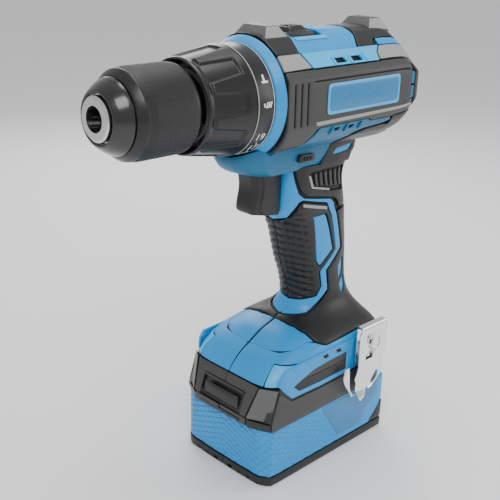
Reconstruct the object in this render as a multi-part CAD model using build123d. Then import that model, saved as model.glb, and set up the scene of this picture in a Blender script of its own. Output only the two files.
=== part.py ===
from build123d import *
import math
import os

# Cordless hammer drill. Lengths are in millimetres.
# Everything is modelled about the spindle: X runs along it with the chuck pointing to -X,
# x = 0 at the front face of the collar ring, z = 0 on the axis, y = 0 on the parting plane.
# save() then moves each piece so that the origin is the centre of the battery's rest face.

# ---- driving dimensions ----
SPINDLE_HEIGHT = 230.0      # spindle axis above the rest face
BATTERY_CENTRE_X = 51.0     # centre of the battery behind the collar ring's front face
WALL = 2.4                  # moulded wall
GAP = 0.3                   # air between curved parts that move past each other
RUN = 0.05                  # radial running clearance of a shaft or pin

CHUCK_FRONT_X = -92.5
CHUCK_REAR_X = -38.0
CHUCK_BORE_R = 6.5          # 13 mm chuck
CHUCK_BODY_R = 18.0
NOSE_RING_R = 11.2
CONE_FRONT_R = 13.7
CONE_REAR_R = 19.2
CONE_REAR_X = -82.1
SLEEVE_FRONT_X = -81.7
SLEEVE_BEVEL_X = -78.1
SLEEVE_REAR_X = -44.6
SLEEVE_FRONT_R = 22.3
SLEEVE_REAR_R = 23.4
SLEEVE_BORE_R = 21.6
JAW_TILT = 17.0             # degrees between a jaw and the spindle
JAW_TRAVEL = 18.0           # along the jaw
JAW_R = 3.4
JAW_LENGTH = 28.0

COLLAR_FRONT_X = -42.1
COLLAR_LINE_X = -12.4
COLLAR_REAR_X = -0.4
COLLAR_FRONT_R = 25.3
COLLAR_LINE_R = 29.4
COLLAR_REAR_R = 29.7
COLLAR_BORE_R = 23.6
RING_FRONT_R = 30.0
RING_REAR_R = 33.1
RING_REAR_X = 4.9

GEAR_MODULE = 0.8
RING_TEETH = 48
REAR_SUN_TEETH = 12
REAR_PLANET_TEETH = 18
FRONT_SUN_TEETH = 18
FRONT_PLANET_TEETH = 15
PLANETS = 3
TOOTH_PLAY = 0.12           # taken off each tooth's thickness
CASE_R = 24.6
CASE_BORE_R = 22.5
CASE_NOSE_R = 19.0
CASE_NOSE_BORE_R = 15.5
SPINDLE_R = 6.0
SHIFT_TRAVEL = 6.0

MOTOR_FRONT_X = 43.0
MOTOR_REAR_X = 96.0
MOTOR_R = 18.3
HOUSING_REAR_X = 100.0
REAR_COVER_X = 127.0
BARREL_CAVITY_R = 28.6
PANEL_Y = 34.0              # outer face of the side panels
BUMPER_TOP_Z = 38.0

TRIGGER_HALF_Y = 9.5
GRIP_SKIN = 1.6             # soft rubber over the handle

FOOT_HALF_Y = 35.5
FOOT_LOW_Z = -180.0
CHANNEL_HALF_Y = 28.5
BATTERY_HALF_Y = 37.0
BATTERY_FRONT_X = -6.5
BATTERY_REAR_X = 109.0
BATTERY_LOW_Z = -SPINDLE_HEIGHT
BASE_TOP_Z = -223.0
CASE_TOP_Z = -181.3
CELL_R = 9.1
CELL_LENGTH = 65.0


# ---- small builders ----
def save(name, shape):
    placed = Pos(-BATTERY_CENTRE_X, 0, SPINDLE_HEIGHT) * shape
    export_step(placed, f"parts/{name}.step")


def prism_x(outline, x0, x1):
    face = make_face(Polyline(*[(x0, y, z) for y, z in outline], close=True))
    return extrude(face, amount=x1 - x0, dir=(1, 0, 0))


def prism_y(outline, y0, y1):
    face = make_face(Polyline(*[(x, y0, z) for x, z in outline], close=True))
    return extrude(face, amount=y1 - y0, dir=(0, 1, 0))


def prism_z(outline, z0, z1):
    face = make_face(Polyline(*[(x, y, z0) for x, y in outline], close=True))
    return extrude(face, amount=z1 - z0, dir=(0, 0, 1))


def mirrored(half):
    """A closed outline from its right half, given from top to bottom as (across, up)."""
    return half + [(-a, b) for a, b in reversed(half) if a > 0]


def box(x0, x1, y0, y1, z0, z1):
    middle = Pos((x0 + x1) / 2, (y0 + y1) / 2, (z0 + z1) / 2)
    return middle * Box(x1 - x0, y1 - y0, z1 - z0)


def rod_x(radius, x0, x1, y=0.0, z=0.0):
    return Pos((x0 + x1) / 2, y, z) * Rot(0, 90, 0) * Cylinder(radius, x1 - x0)


def rod_y(radius, y0, y1, x, z):
    return Pos(x, (y0 + y1) / 2, z) * Rot(90, 0, 0) * Cylinder(radius, y1 - y0)


def tube_x(outer, inner, x0, x1):
    return rod_x(outer, x0, x1) - rod_x(inner, x0, x1)


def turned(profile):
    """A solid of revolution about the spindle, from (x, radius) points."""
    face = make_face(Polyline(*[(x, 0, r) for x, r in profile], close=True))
    return revolve(face, axis=Axis.X)


def polygon_x(sides, across_radius, x0, x1, phase=0.0):
    """A regular prism about the spindle whose corners lie on across_radius."""
    angles = [phase + 2 * math.pi * k / sides for k in range(sides)]
    return prism_x([(across_radius * math.cos(a), across_radius * math.sin(a)) for a in angles], x0, x1)


# ---- gears ----
def tooth_outline(teeth, tip, root, widen, phase):
    """Corner points of a toothed outline with 20 degree involute flanks drawn in short facets.
    A tooth is centred on the angle phase, measured from +Y towards +Z."""
    pitch = GEAR_MODULE * teeth / 2
    pressure = math.radians(20)
    base = pitch * math.cos(pressure)
    start = max(base, root)

    def half_angle(radius):
        local = math.acos(min(1.0, base / radius))
        flank = math.tan(pressure) - pressure - (math.tan(local) - local)
        return math.pi / (2 * teeth) + widen / (2 * pitch) + flank

    radii = [start + (tip - start) * k / 3 for k in range(4)]
    rising = [(radius, -half_angle(radius)) for radius in radii]
    if start > root:
        rising.insert(0, (root, -half_angle(start)))
    tooth = rising + [(radius, -angle) for radius, angle in reversed(rising)]
    points = []
    for k in range(teeth):
        centre = phase + 2 * math.pi * k / teeth
        points += [(r * math.cos(centre + a), r * math.sin(centre + a)) for r, a in tooth]
    return points


def spur_gear(teeth, x0, x1, phase):
    pitch = GEAR_MODULE * teeth / 2
    outline = tooth_outline(teeth, pitch + 0.8 * GEAR_MODULE, pitch - 1.2 * GEAR_MODULE, -TOOTH_PLAY, phase)
    return prism_x(outline, x0, x1)


def ring_gear(x0, x1, phase):
    """An internal gear with a tooth on the angle phase."""
    pitch = GEAR_MODULE * RING_TEETH / 2
    space = phase + math.pi / RING_TEETH
    outline = tooth_outline(
        RING_TEETH, pitch + 1.2 * GEAR_MODULE, pitch - 0.8 * GEAR_MODULE, TOOTH_PLAY, space)
    return polygon_x(96, CASE_BORE_R - 0.1, x0, x1) - prism_x(outline, x0 - 1, x1 + 1)


def planet_places(sun_teeth, planet_teeth):
    """Direction and tooth angle of each planet, and the ring's tooth angle, all in mesh
    with a sun that has a tooth on the angle 0."""
    places = []
    for k in range(PLANETS):
        where = math.pi / 2 + 2 * math.pi * k / PLANETS
        sun_phase = sun_teeth * where / (2 * math.pi)
        tooth = where + math.pi - (0.5 - sun_phase) * 2 * math.pi / planet_teeth
        places.append((where, tooth))
    where, tooth = places[0]
    planet_phase = planet_teeth * (tooth - where) / (2 * math.pi) + 0.5
    return places, where + planet_phase * 2 * math.pi / RING_TEETH


def planet_radius(sun_teeth, planet_teeth):
    return GEAR_MODULE * (sun_teeth + planet_teeth) / 2


def planets(name, sun_teeth, planet_teeth, x0, x1):
    centre = planet_radius(sun_teeth, planet_teeth)
    places, _ = planet_places(sun_teeth, planet_teeth)
    for k, (where, tooth) in enumerate(places):
        gear = spur_gear(planet_teeth, x0, x1, tooth) - polygon_x(16, 2.16, x0 - 1, x1 + 1)
        save(f"{name}_{k + 1}", Pos(0, centre * math.cos(where), centre * math.sin(where)) * gear)


def carrier(sun_teeth, planet_teeth, plate_x0, plate_x1, pin_end):
    centre = planet_radius(sun_teeth, planet_teeth)
    shape = polygon_x(48, 17.4, plate_x0, plate_x1)
    for where, _ in planet_places(sun_teeth, planet_teeth)[0]:
        pin = polygon_x(16, 2.0, plate_x1, pin_end)
        shape += Pos(0, centre * math.cos(where), centre * math.sin(where)) * pin
    return shape


REAR_GEARS_X = (29.0, 37.0)
REAR_PLATE_X = (23.5, 28.0)
FRONT_GEARS_X = (11.5, 19.5)
FRONT_PLATE_X = (5.5, 10.5)


def gearbox():
    front_ring_phase = planet_places(FRONT_SUN_TEETH, FRONT_PLANET_TEETH)[1]
    rear_ring_phase = planet_places(REAR_SUN_TEETH, REAR_PLANET_TEETH)[1]
    planets("front_planet_gear", FRONT_SUN_TEETH, FRONT_PLANET_TEETH, *FRONT_GEARS_X)
    planets("rear_planet_gear", REAR_SUN_TEETH, REAR_PLANET_TEETH, *REAR_GEARS_X)
    save("front_carrier", carrier(FRONT_SUN_TEETH, FRONT_PLANET_TEETH, *FRONT_PLATE_X, 19.2))
    rear = carrier(REAR_SUN_TEETH, REAR_PLANET_TEETH, *REAR_PLATE_X, 36.8)
    rear += spur_gear(FRONT_SUN_TEETH, 11.3, REAR_PLATE_X[0], 0.0)
    save("rear_carrier", rear)
    save("front_ring_gear", ring_gear(11.0, 21.0, front_ring_phase))
    sliding = ring_gear(30.0, 37.0, rear_ring_phase)
    groove = polygon_x(96, CASE_BORE_R + 1, 32.6, 34.6) - polygon_x(96, 21.2, 32.6, 34.6)
    save("shift_ring_gear", sliding - groove)
    save("gearbox_case", gearbox_case())
    spindle_bearing = tube_x(CASE_NOSE_BORE_R - 0.02, SPINDLE_R + 0.02, -34.0, -25.0)
    shield = tube_x(12.8, 8.8, -35.0, -33.6) + tube_x(12.8, 8.8, -25.4, -24.0)
    save("spindle_bearing", spindle_bearing - shield)
    save("hammer_ratchet", ratchet(-16.0, -11.0, CASE_NOSE_BORE_R - 0.02, 7.0, -9.6))


def gearbox_case():
    case = turned([
        (-36.5, CASE_NOSE_BORE_R), (-36.5, CASE_NOSE_R), (1.0, CASE_NOSE_R), (3.0, CASE_R),
        (41.0, CASE_R), (41.0, CASE_BORE_R), (5.0, CASE_BORE_R), (5.0, 18.4),
        (2.5, 18.4), (2.5, CASE_NOSE_BORE_R)])
    slot = box(32.8 - SHIFT_TRAVEL - 0.8, 34.4 + 0.8, -3.6, 3.6, 15.0, 30.0)
    return case - slot


def ratchet(x0, x1, outer, inner, tooth_top):
    """A disc with flat teeth on its rear face that make the hammer action."""
    shape = tube_x(outer, inner, x0, x1)
    for k in range(12):
        tooth = box(x1, tooth_top, -1.0, 1.0, 10.0, 13.4)
        shape += Rot(30 * k, 0, 0) * tooth
    return shape


# ---- spindle and chuck ----
def spindle():
    shape = rod_x(SPINDLE_R, -60.0, -9.0)
    shape += rod_x(9.5, -9.0, 5.5)
    shape += tube_x(13.6, 6.0, -9.0, -5.0)
    save("spindle", shape)


def jaw_direction():
    tilt = math.radians(JAW_TILT)
    return math.cos(tilt), math.sin(tilt)


def jaw_tube(radius, back_off, length, start):
    """A cylinder along a jaw's centre line, start millimetres behind the closed tip."""
    along, out = jaw_direction()
    middle = start + back_off + length / 2
    x = -91.5 + along * middle
    z = 3.3 + out * middle
    return Pos(x, 0, z) * Rot(0, 90 - JAW_TILT, 0) * Cylinder(radius, length)


def jaw():
    """One jaw, closed: its gripping faces make a 118 degree wedge at the spindle axis."""
    blank = jaw_tube(JAW_R, 0.0, JAW_LENGTH, 0.0)
    reach = 40.0
    half = math.radians(59)
    wedge = prism_x([(0, 0.35), (reach * math.sin(half), 0.35 + reach * math.cos(half)), (0, 60),
                     (-reach * math.sin(half), 0.35 + reach * math.cos(half))], -100, 0)
    nose = turned([(-91.4, 0), (-91.4, 3.0), (-86.0, 11.0), (-20, 45), (-20, 0)])
    closed = blank & wedge & nose
    along, out = jaw_direction()
    return Pos(along * JAW_TRAVEL, 0, out * JAW_TRAVEL) * closed


def chuck():
    body = turned([
        (CHUCK_FRONT_X, CHUCK_BORE_R), (CHUCK_FRONT_X, 10.2), (-91.6, NOSE_RING_R), (-88.0, NOSE_RING_R),
        (-88.0, 12.4), (-80.0, 16.0), (-74.0, CHUCK_BODY_R), (CHUCK_REAR_X, CHUCK_BODY_R),
        (CHUCK_REAR_X, SPINDLE_R + 0.02), (-60.0, SPINDLE_R + 0.02), (-60.0, CHUCK_BORE_R + 0.6),
        (-82.0, CHUCK_BORE_R + 0.6), (-82.0, CHUCK_BORE_R)])
    for k in range(3):
        bore = jaw_tube(JAW_R + RUN, 0.0, 62.0, -6.0)
        body -= Rot(120 * k, 0, 0) * bore
        save(f"chuck_jaw_{k + 1}", Rot(120 * k, 0, 0) * jaw())
    save("chuck_body", body)
    save("chuck_nose", turned([
        (-90.9, 12.0), (-90.9, CONE_FRONT_R), (-88.6, 15.6), (CONE_REAR_X, CONE_REAR_R),
        (CONE_REAR_X, 17.0), (-84.0, 14.6), (-87.6, 12.8), (-89.0, 12.0)]))
    save("chuck_sleeve", turned([
        (SLEEVE_FRONT_X, 18.6), (SLEEVE_FRONT_X, CONE_REAR_R), (SLEEVE_BEVEL_X, SLEEVE_FRONT_R),
        (-72.0, SLEEVE_REAR_R), (-48.0, SLEEVE_REAR_R), (SLEEVE_REAR_X, 22.6), (SLEEVE_REAR_X, SLEEVE_BORE_R),
        (-74.0, SLEEVE_BORE_R), (-74.0, 18.6)]))
    save("chuck_nut", tube_x(SLEEVE_BORE_R, 20.7, -64.0, -57.0))


# ---- clutch ----
def clutch():
    save("torque_collar", torque_collar())
    nut = tube_x(22.4, CASE_NOSE_R + GAP, -30.0, -25.0)
    for k in range(3):
        key = box(-30.0, -25.0, -2.0, 2.0, 22.0, 23.3)
        nut += Rot(120 * k, 0, 0) * key
    save("clutch_nut", nut)
    path = Helix(pitch=3.9, height=23.4, radius=20.9, center=(0, 0, 0), direction=(1, 0, 0))
    wire = Plane(path @ 0, z_dir=path % 0) * Circle(0.9)
    save("clutch_spring", Pos(-24.0, 0, 0) * sweep(wire, path=path, is_frenet=True))


def torque_collar():
    shape = turned([
        (COLLAR_FRONT_X, COLLAR_BORE_R), (COLLAR_FRONT_X, COLLAR_FRONT_R - 0.8), (-41.3, COLLAR_FRONT_R),
        (COLLAR_LINE_X, COLLAR_LINE_R), (COLLAR_REAR_X, COLLAR_REAR_R), (COLLAR_REAR_X, 25.0),
        (-3.0, 25.0), (-3.0, COLLAR_BORE_R)])
    for k in range(3):
        slot = box(-41.0, -10.0, -2.2, 2.2, 20.0, 24.6)
        shape -= Rot(120 * k, 0, 0) * slot
    for k in range(12):
        pad = box(-35.0, -19.0, -3.2, 3.2, 26.9, 30.0)
        shape -= Rot(30 * k + 15, 0, 0) * pad
    return shape


# ---- motor ----
def motor():
    save("motor_can", turned([
        (MOTOR_FRONT_X, 7.25), (MOTOR_FRONT_X, MOTOR_R), (MOTOR_REAR_X, MOTOR_R), (MOTOR_REAR_X, MOTOR_R - 1.6),
        (MOTOR_FRONT_X + 1.6, MOTOR_R - 1.6), (MOTOR_FRONT_X + 1.6, 7.25)]))
    half_tube = tube_x(MOTOR_R - 1.65, 12.6, 50.0, 84.0)
    gap = box(49.0, 85.0, -20.0, 20.0, -4.0, 4.0)
    save("motor_magnets", half_tube - gap)
    end_plate = tube_x(MOTOR_R - 1.65, 5.6, 91.5, MOTOR_REAR_X)
    save("motor_end_plate", end_plate)
    bearing = tube_x(7.2, 2.0 + 0.02, 41.4, 45.8) + tube_x(5.5, 2.02, 91.6, 95.8)
    save("motor_bearings", bearing)
    save("rotor_shaft", rod_x(2.0, 28.6, 112.0))
    core = tube_x(11.8, 2.0, 53.0, 81.0)
    for k in range(8):
        core -= Rot(45 * k, 0, 0) * box(52.0, 82.0, -1.0, 1.0, 7.0, 12.5)
    save("rotor_core", core)
    save("commutator", tube_x(6.2, 2.0, 85.0, 90.8))
    save("motor_pinion", spur_gear(REAR_SUN_TEETH, 29.2, 38.5, 0.0) - polygon_x(16, 2.06, 29.0, 39.0))
    save("cooling_fan", cooling_fan())


def cooling_fan():
    fan = tube_x(6.0, 2.0, 101.0, 111.0) + tube_x(20.0, 5.0, 101.0, 102.4)
    for k in range(12):
        fan += Rot(30 * k, 0, 0) * box(102.0, 110.0, -0.7, 0.7, 5.5, 20.0)
    return fan


# ---- housing ----
BARREL = mirrored([
    (0, 32.6), (7, 32.2), (12.5, 30.3), (22.3, 23.6), (28.3, 15.4), (31, 12), (31, -12.5),
    (28, -18.5), (24.5, -23.2), (18, -28.5), (8, -31.5), (0, -32)])
NECK_SIDE = [
    (-10.5, -30.6), (-9.4, -35.0), (-4.5, -39.8), (6, -42), (26, -42), (26, -68.0), (22, -70.8), (24, -74.0),
    (33.5, -75.0), (34, -76.5), (86, -76.5), (83.5, -70), (78, -58), (76.5, -47), (82, -38), (91.5, -32.5),
    (99.5, -30.5), (99.5, -8),
    (6, -8)]
NECK_PLAN = [
    (-10.5, -10), (-6, -15), (4, -18.5), (40, -18.5), (70, -18), (92, -15), (104, -9),
    (104, 9), (92, 15), (70, 18), (40, 18.5), (4, 18.5), (-6, 15), (-10.5, 10)]
FOOT_SIDE = [
    (-3.3, -164.3), (3, -154), (8, -150.4), (20, -146.6), (34, -143), (60, -141), (98, -145), (105, -151),
    (106.5, -160), (106.5, FOOT_LOW_Z), (20, FOOT_LOW_Z), (6, -166.3)]
FOOT_FRONT = mirrored([
    (0, -140), (16, -141.5), (29, -145.5), (FOOT_HALF_Y, -152), (FOOT_HALF_Y, -185)])
FOOT_PLAN = [
    (-3.3, -14), (-2.6, -27.5), (6, -FOOT_HALF_Y), (100, -FOOT_HALF_Y), (106.5, -29),
    (106.5, 29), (100, FOOT_HALF_Y), (6, FOOT_HALF_Y), (-2.6, 27.5), (-3.3, 14)]
# height, front, back and half width of the grip, and the radius of its corners
GRIP = [
    (-70.0, 32.0, 86.0, 16.5, 13.0), (-85.0, 35.2, 88.8, 16.5, 13.0), (-95.0, 37.4, 90.6, 16.3, 13.0),
    (-105.0, 40.4, 91.6, 16.0, 13.0), (-115.0, 44.9, 91.8, 15.8, 13.0), (-125.0, 47.8, 92.8, 16.2, 13.0),
    (-133.0, 48.2, 95.4, 17.2, 13.5), (-140.0, 43.0, 101.0, 21.0, 14.0), (-147.0, 34.0, 104.0, 29.0, 15.0)]
SCREW_PLACES = [(12.0, -35.5), (88.0, -29.3), (77.6, -78.0), (84.2, -128.0), (11.0, -157.5)]
CLIP_SCREW_X = 82.0
CLIP_SCREW_Z = -158.0
CLIP_HOLE_R = 1.65          # tapping hole of an M4 screw
LED_SIDE = [(-10.2, -33.4), (-5.2, -39.4), (-2.0, -36.8), (-6.9, -31.2)]


def grip_solid(inset, lowest=-147.0):
    sections = []
    for z, front, back, half, corner in GRIP:
        if z < lowest:
            continue
        size = RectangleRounded(back - front - 2 * inset, 2 * (half - inset), corner - inset)
        sections.append(Pos((front + back) / 2, 0, z) * size)
    return loft(sections, ruled=True)


def housing_outside():
    barrel = prism_x(BARREL, 5.2, HOUSING_REAR_X)
    neck = prism_y(NECK_SIDE, -19, 19) & prism_z(NECK_PLAN, -90, 0)
    foot = prism_y(FOOT_SIDE, -40, 40) & prism_x(FOOT_FRONT, -10, 120) & prism_z(FOOT_PLAN, -190, -130)
    return barrel + neck + grip_solid(GRIP_SKIN) + foot


def housing_inside():
    barrel = rod_x(BARREL_CAVITY_R, 5.0, HOUSING_REAR_X + 1)
    nose_clearance = turned([
        (-20, 0), (-20, RING_FRONT_R + 0.4), (0, RING_FRONT_R + 0.4), (5.2, RING_REAR_R + 0.3), (5.2, 0)])
    led_pocket = box(-5.0, 9.0, -12.0, 12.0, -39.6, -28.0)
    trigger_mouth = box(15.0, 32.0, -TRIGGER_HALF_Y - 0.4, TRIGGER_HALF_Y + 0.4, -70.2, -39.6)
    throat = box(27.0, 73.0, -13.5, 13.5, -76.0, -20.0)
    handle = grip_solid(GRIP_SKIN + WALL)
    channel = box(3.0, 103.0, -CHANNEL_HALF_Y, CHANNEL_HALF_Y, -190.0, -154.5)
    stem = box(52.0, 90.0, -14.0, 14.0, -156.0, -138.0)
    return barrel + nose_clearance + led_pocket + trigger_mouth + throat + handle + channel + stem


def bosses():
    shape = None
    for x, z in SCREW_PLACES:
        boss = rod_y(3.6, -16.0, 16.0, x, z)
        shape = boss if shape is None else shape + boss
    for y0, y1 in ((-FOOT_HALF_Y, -24.0), (24.0, FOOT_HALF_Y)):
        shape += rod_y(4.4, y0, y1, CLIP_SCREW_X, CLIP_SCREW_Z)
    return shape


def housing_cuts():
    cuts = box(26.0, 51.5, -8.0, 8.0, 27.0, 40.0)
    cuts += box(26.6, 42.4, -22.0, 22.0, -38.0, -32.0)
    cuts += prism_y(LED_SIDE, -9.0, 9.0)
    for x, z in SCREW_PLACES:
        cuts += rod_y(1.5, -11.0, 10.0, x, z)
        cuts += rod_y(3.3, 9.0, 45.0, x, z)
    cuts += rod_y(CLIP_HOLE_R, -45.0, -27.0, CLIP_SCREW_X, CLIP_SCREW_Z)
    cuts += rod_y(CLIP_HOLE_R, 27.5, 45.0, CLIP_SCREW_X, CLIP_SCREW_Z)
    return cuts


def rails():
    """Lips inside the foot that carry the battery."""
    return box(20.0, 103.0, 25.0, CHANNEL_HALF_Y + 1, -180.0, -176.5) + box(
        20.0, 103.0, -CHANNEL_HALF_Y - 1, -25.0, -180.0, -176.5)


def housing():
    whole = housing_outside() - housing_inside() + rails()
    whole += bosses() & housing_outside()
    whole -= housing_cuts()
    save("housing_left", whole & box(-60, 140, -60, -0.02, -200, 60))
    save("housing_right", whole & box(-60, 140, 0.02, 60, -200, 60))


# ---- housing trim ----
PANEL_SECTION = [
    (22.3, 23.6), (28.3, 15.4), (31, 12), (31, -12.5), (28, -18.5), (24.5, -23.2),
    (26.4, -24.9), (30.4, -19.8), (PANEL_Y, -13.0), (PANEL_Y, 12.4), (29.7, 16.8), (23.4, 24.6)]
PANEL_SIDE = [
    (5.6, 26), (24, 26), (27, 15), (86, 15), (90, 26), (113, 26), (119, 15), (122.5, 6), (122.5, -7),
    (117, -14.5), (106, -26), (97, -26), (78, -24), (75, -14.5), (27, -14.5), (19, -26), (5.6, -26)]
PANEL_PLAN = [(0, -36), (118, -36), (118, -PANEL_Y), (124, -30), (124, -20), (0, -20)]
BAND_TOP = mirrored([
    (0, 34.0), (7.4, 33.6), (13.2, 31.7), (23.4, 24.6), (22.3, 23.6), (12.5, 30.3), (7, 32.2), (0, 32.6)])
COVER_SIDE = [
    (HOUSING_REAR_X, 34), (113, 33), (119, 24), (REAR_COVER_X, 10), (REAR_COVER_X, -9), (120, -18), (110, -26),
    (HOUSING_REAR_X, -33)]
COVER_PLAN = [
    (HOUSING_REAR_X, -31), (118, -31), (REAR_COVER_X, -26), (REAR_COVER_X, 26), (118, 31), (HOUSING_REAR_X, 31)]
NECK_SKIN_PLAN = [
    (20, -20), (40, -20), (70, -19.4), (93.5, -16), (101, -9), (101, 9), (93.5, 16), (70, 19.4), (40, 20), (20, 20)]
GRIP_UPPER_SIDE = [
    (33, -41.5), (37.5, -55), (40.5, -59), (64, -62.5), (70, -72), (87.5, -72), (85.5, -70), (80, -58), (78.5, -47),
    (84, -38.8), (93, -34.4), (100, -32.6), (80, -32.6), (52, -32.6), (43, -41.5)]
FRONT_GRIP_SIDE = [
    (10, -70.2), (33, -70.2), (37, -66), (61, -70.2), (62, -71), (71, -100), (56, -111), (59, -127), (52, -131.5),
    (10, -131.5)]
REAR_GRIP_SIDE = [
    (68, -70.2), (79, -100), (63.5, -112), (67.5, -127), (54, -134.5), (20, -134.5), (20, -147), (120, -147),
    (120, -70.2)]


def bumper(x0, x1, slope, base_half, top_half):
    base = Pos((x0 + x1) / 2, 0, 30.6) * Rectangle(x1 - x0, 2 * base_half)
    top = Pos((x0 + x1) / 2, 0, BUMPER_TOP_Z) * Rectangle(x1 - x0 - 2 * slope, 2 * top_half)
    return loft([base, top], ruled=True)


def trim():
    save("collar_ring", turned([
        (0, 25.2), (0, RING_FRONT_R), (RING_REAR_X, RING_REAR_R), (RING_REAR_X, 28.4), (9, 28.4), (9, 25.2)]))
    panel = prism_x(PANEL_SECTION, 5.6, 124) & prism_y(PANEL_SIDE, 10, 40)
    panel &= prism_z([(x, -y) for x, y in PANEL_PLAN], -40, 40)
    panel -= box(25.5, 110, PANEL_Y - 0.6, 40, 11.2, 12.0)
    for x in (9.4, 14.8, 20.3):
        panel -= box(x - 0.5, x + 0.5, PANEL_Y - 1.0, 40, -12, 11)
    save("side_panel_right", panel - rod_y(3.3, 9.0, 45.0, *SCREW_PLACES[0]))
    save("side_panel_left", mirror(panel, about=Plane.XZ))
    plate = box(36, 100, PANEL_Y, PANEL_Y + 0.8, -9.8, 9.1)
    save("name_plates", plate + mirror(plate, about=Plane.XZ))
    barrel = prism_x(BARREL, 5.2, 130)
    front = prism_x(BAND_TOP, 5.6, 25) + (bumper(7, 26, 4.4, 13.0, 9.4) - barrel)
    save("front_bumper", front)
    saddle = prism_x(BAND_TOP, 72, 118) & (box(79, 118, -18, 18, 0, 60) + box(72, 86, -30, 30, 0, 60))
    saddle += bumper(95, 115, 4.6, 12.5, 8.7) - barrel
    cover_side = prism_y(COVER_SIDE, -40, 40) + box(70, 100.1, -40, 40, -40, 40)
    save("rear_bumper", saddle & (cover_side + box(70, 116, -40, 40, 20, 60)))
    save("rear_cover", rear_cover())


def rear_cover():
    outside = prism_x(BARREL, HOUSING_REAR_X, REAR_COVER_X) & prism_y(COVER_SIDE, -40, 40)
    outside &= prism_z(COVER_PLAN, -40, 40)
    cover = outside - turned([
        (HOUSING_REAR_X - 1, 0), (HOUSING_REAR_X - 1, 26.0), (111, 23.0), (REAR_COVER_X - 3, 8.0), (REAR_COVER_X - 3, 0)])
    for z0, z1 in ((9.5, 14.5), (-2.0, 6.5), (-12.5, -5.0)):
        cover -= box(104, 108, -40, 40, z0, z1)
    for x in (103.0, 107.0, 111.0):
        cover -= box(x, x + 2, -12, 12, -40, -20)
    return cover


def grips():
    skin = grip_solid(0) - grip_solid(GRIP_SKIN)
    save("front_grip", largest((skin & prism_y(FRONT_GRIP_SIDE, -40, 40)) - housing_core()))
    upper = prism_y(GRIP_UPPER_SIDE, -22, 22) & prism_z(NECK_SKIN_PLAN, -90, 0)
    upper -= housing_core()
    upper -= box(20, 45, -30, 30, -38.6, -31)
    lower = (skin & prism_y(REAR_GRIP_SIDE, -40, 40)) - housing_core()
    save("rear_grip", largest(upper + lower))


def largest(shape):
    return max(shape.solids(), key=lambda solid: solid.volume)


def housing_core():
    """The housing's outside, with nothing hollowed out."""
    return housing_outside() + prism_x(PANEL_SECTION, 5.6, 124) + prism_x(
        [(-y, z) for y, z in PANEL_SECTION], 5.6, 124)


# ---- switch, trigger, lever, light, speed selector ----
TRIGGER_SIDE = [
    (6.4, -42.8), (25, -42.8), (25, -69.2), (18, -69.2), (8.4, -66.8), (6.2, -64.6), (6.0, -62), (7.8, -52)]
TRIGGER_PLAN = [(5.9, -6.5), (9.5, -TRIGGER_HALF_Y), (26, -TRIGGER_HALF_Y), (26, TRIGGER_HALF_Y),
                (9.5, TRIGGER_HALF_Y), (5.9, 6.5)]


def controls():
    trigger = prism_y(TRIGGER_SIDE, -12, 12) & prism_z(TRIGGER_PLAN, -80, -30)
    trigger -= box(14, 26, -TRIGGER_HALF_Y + 2, TRIGGER_HALF_Y - 2, -66.5, -45)
    trigger += rod_x(3.0, 12.0, 33.0, 0, -55)
    save("trigger", trigger)
    save("switch_body", box(42, 70, -10, 10, -66, -43))
    path = Helix(pitch=2.6, height=26.0, radius=4.3, center=(0, 0, 0), direction=(1, 0, 0))
    wire = Plane(path @ 0, z_dir=path % 0) * Circle(0.4)
    save("trigger_spring", Pos(15.2, 0, -55) * sweep(wire, path=path, is_frenet=True))
    save("direction_lever", box(27, 42, -21, 21, -37.6, -32.4))
    save("led_window", prism_y(LED_SIDE, -9.0, 9.0) & prism_z(NECK_PLAN, -90, 0))
    selector = box(33, 50, -7.5, 7.5, 30.2, 34.6) + box(38, 46, -6, 6, 34.6, 36.4)
    selector += box(32.9, 34.3, -3.2, 3.2, 21.6, 30.4)
    save("gear_selector", selector)


# ---- foot, belt clip, screws ----
CLIP_SECTION = [
    (-35.5, -172), (-35.5, -146.6), (-37, -145.1), (-44.5, -145.1), (-46, -146.6), (-46, -176), (-42, -187),
    (-44.6, -196.2), (-43.1, -196.6), (-40.4, -187), (-44.5, -175.7), (-44.5, -146.9), (-44.2, -146.6),
    (-37.3, -146.6), (-37, -146.9), (-37, -172)]


def foot_fittings():
    clip = prism_x(CLIP_SECTION, 68, 96)
    clip -= box(75.5, 88.5, -50, -38.5, -178, -151.5)
    clip -= box(84, 98, -50, -38.5, -198, -188) + box(90, 98, -50, -38.5, -198, -180)
    clip -= rod_y(2.1, -38.0, -34.0, CLIP_SCREW_X, CLIP_SCREW_Z)
    save("belt_clip", clip)
    screw = rod_y(CLIP_HOLE_R - 0.01, -37.0, -28.5, CLIP_SCREW_X, CLIP_SCREW_Z)
    screw += rod_y(3.8, -39.4, -37.0, CLIP_SCREW_X, CLIP_SCREW_Z)
    save("belt_clip_screw", screw - box(78, 86, -40, -38.2, CLIP_SCREW_Z - 0.6, CLIP_SCREW_Z + 0.6))
    screws = Part()
    for x, z in SCREW_PLACES:
        screws += rod_y(1.48, -10.5, 9.2, x, z) + rod_y(3.1, 9.0, 11.4, x, z)
    save("housing_screws", screws)
    block = box(54, 88, -18, 18, -160, -154.5)
    for y in (-9, 0, 9):
        block += box(60, 80, y - 0.5, y + 0.5, -176, -160)
    save("terminal_block", block)


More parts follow.
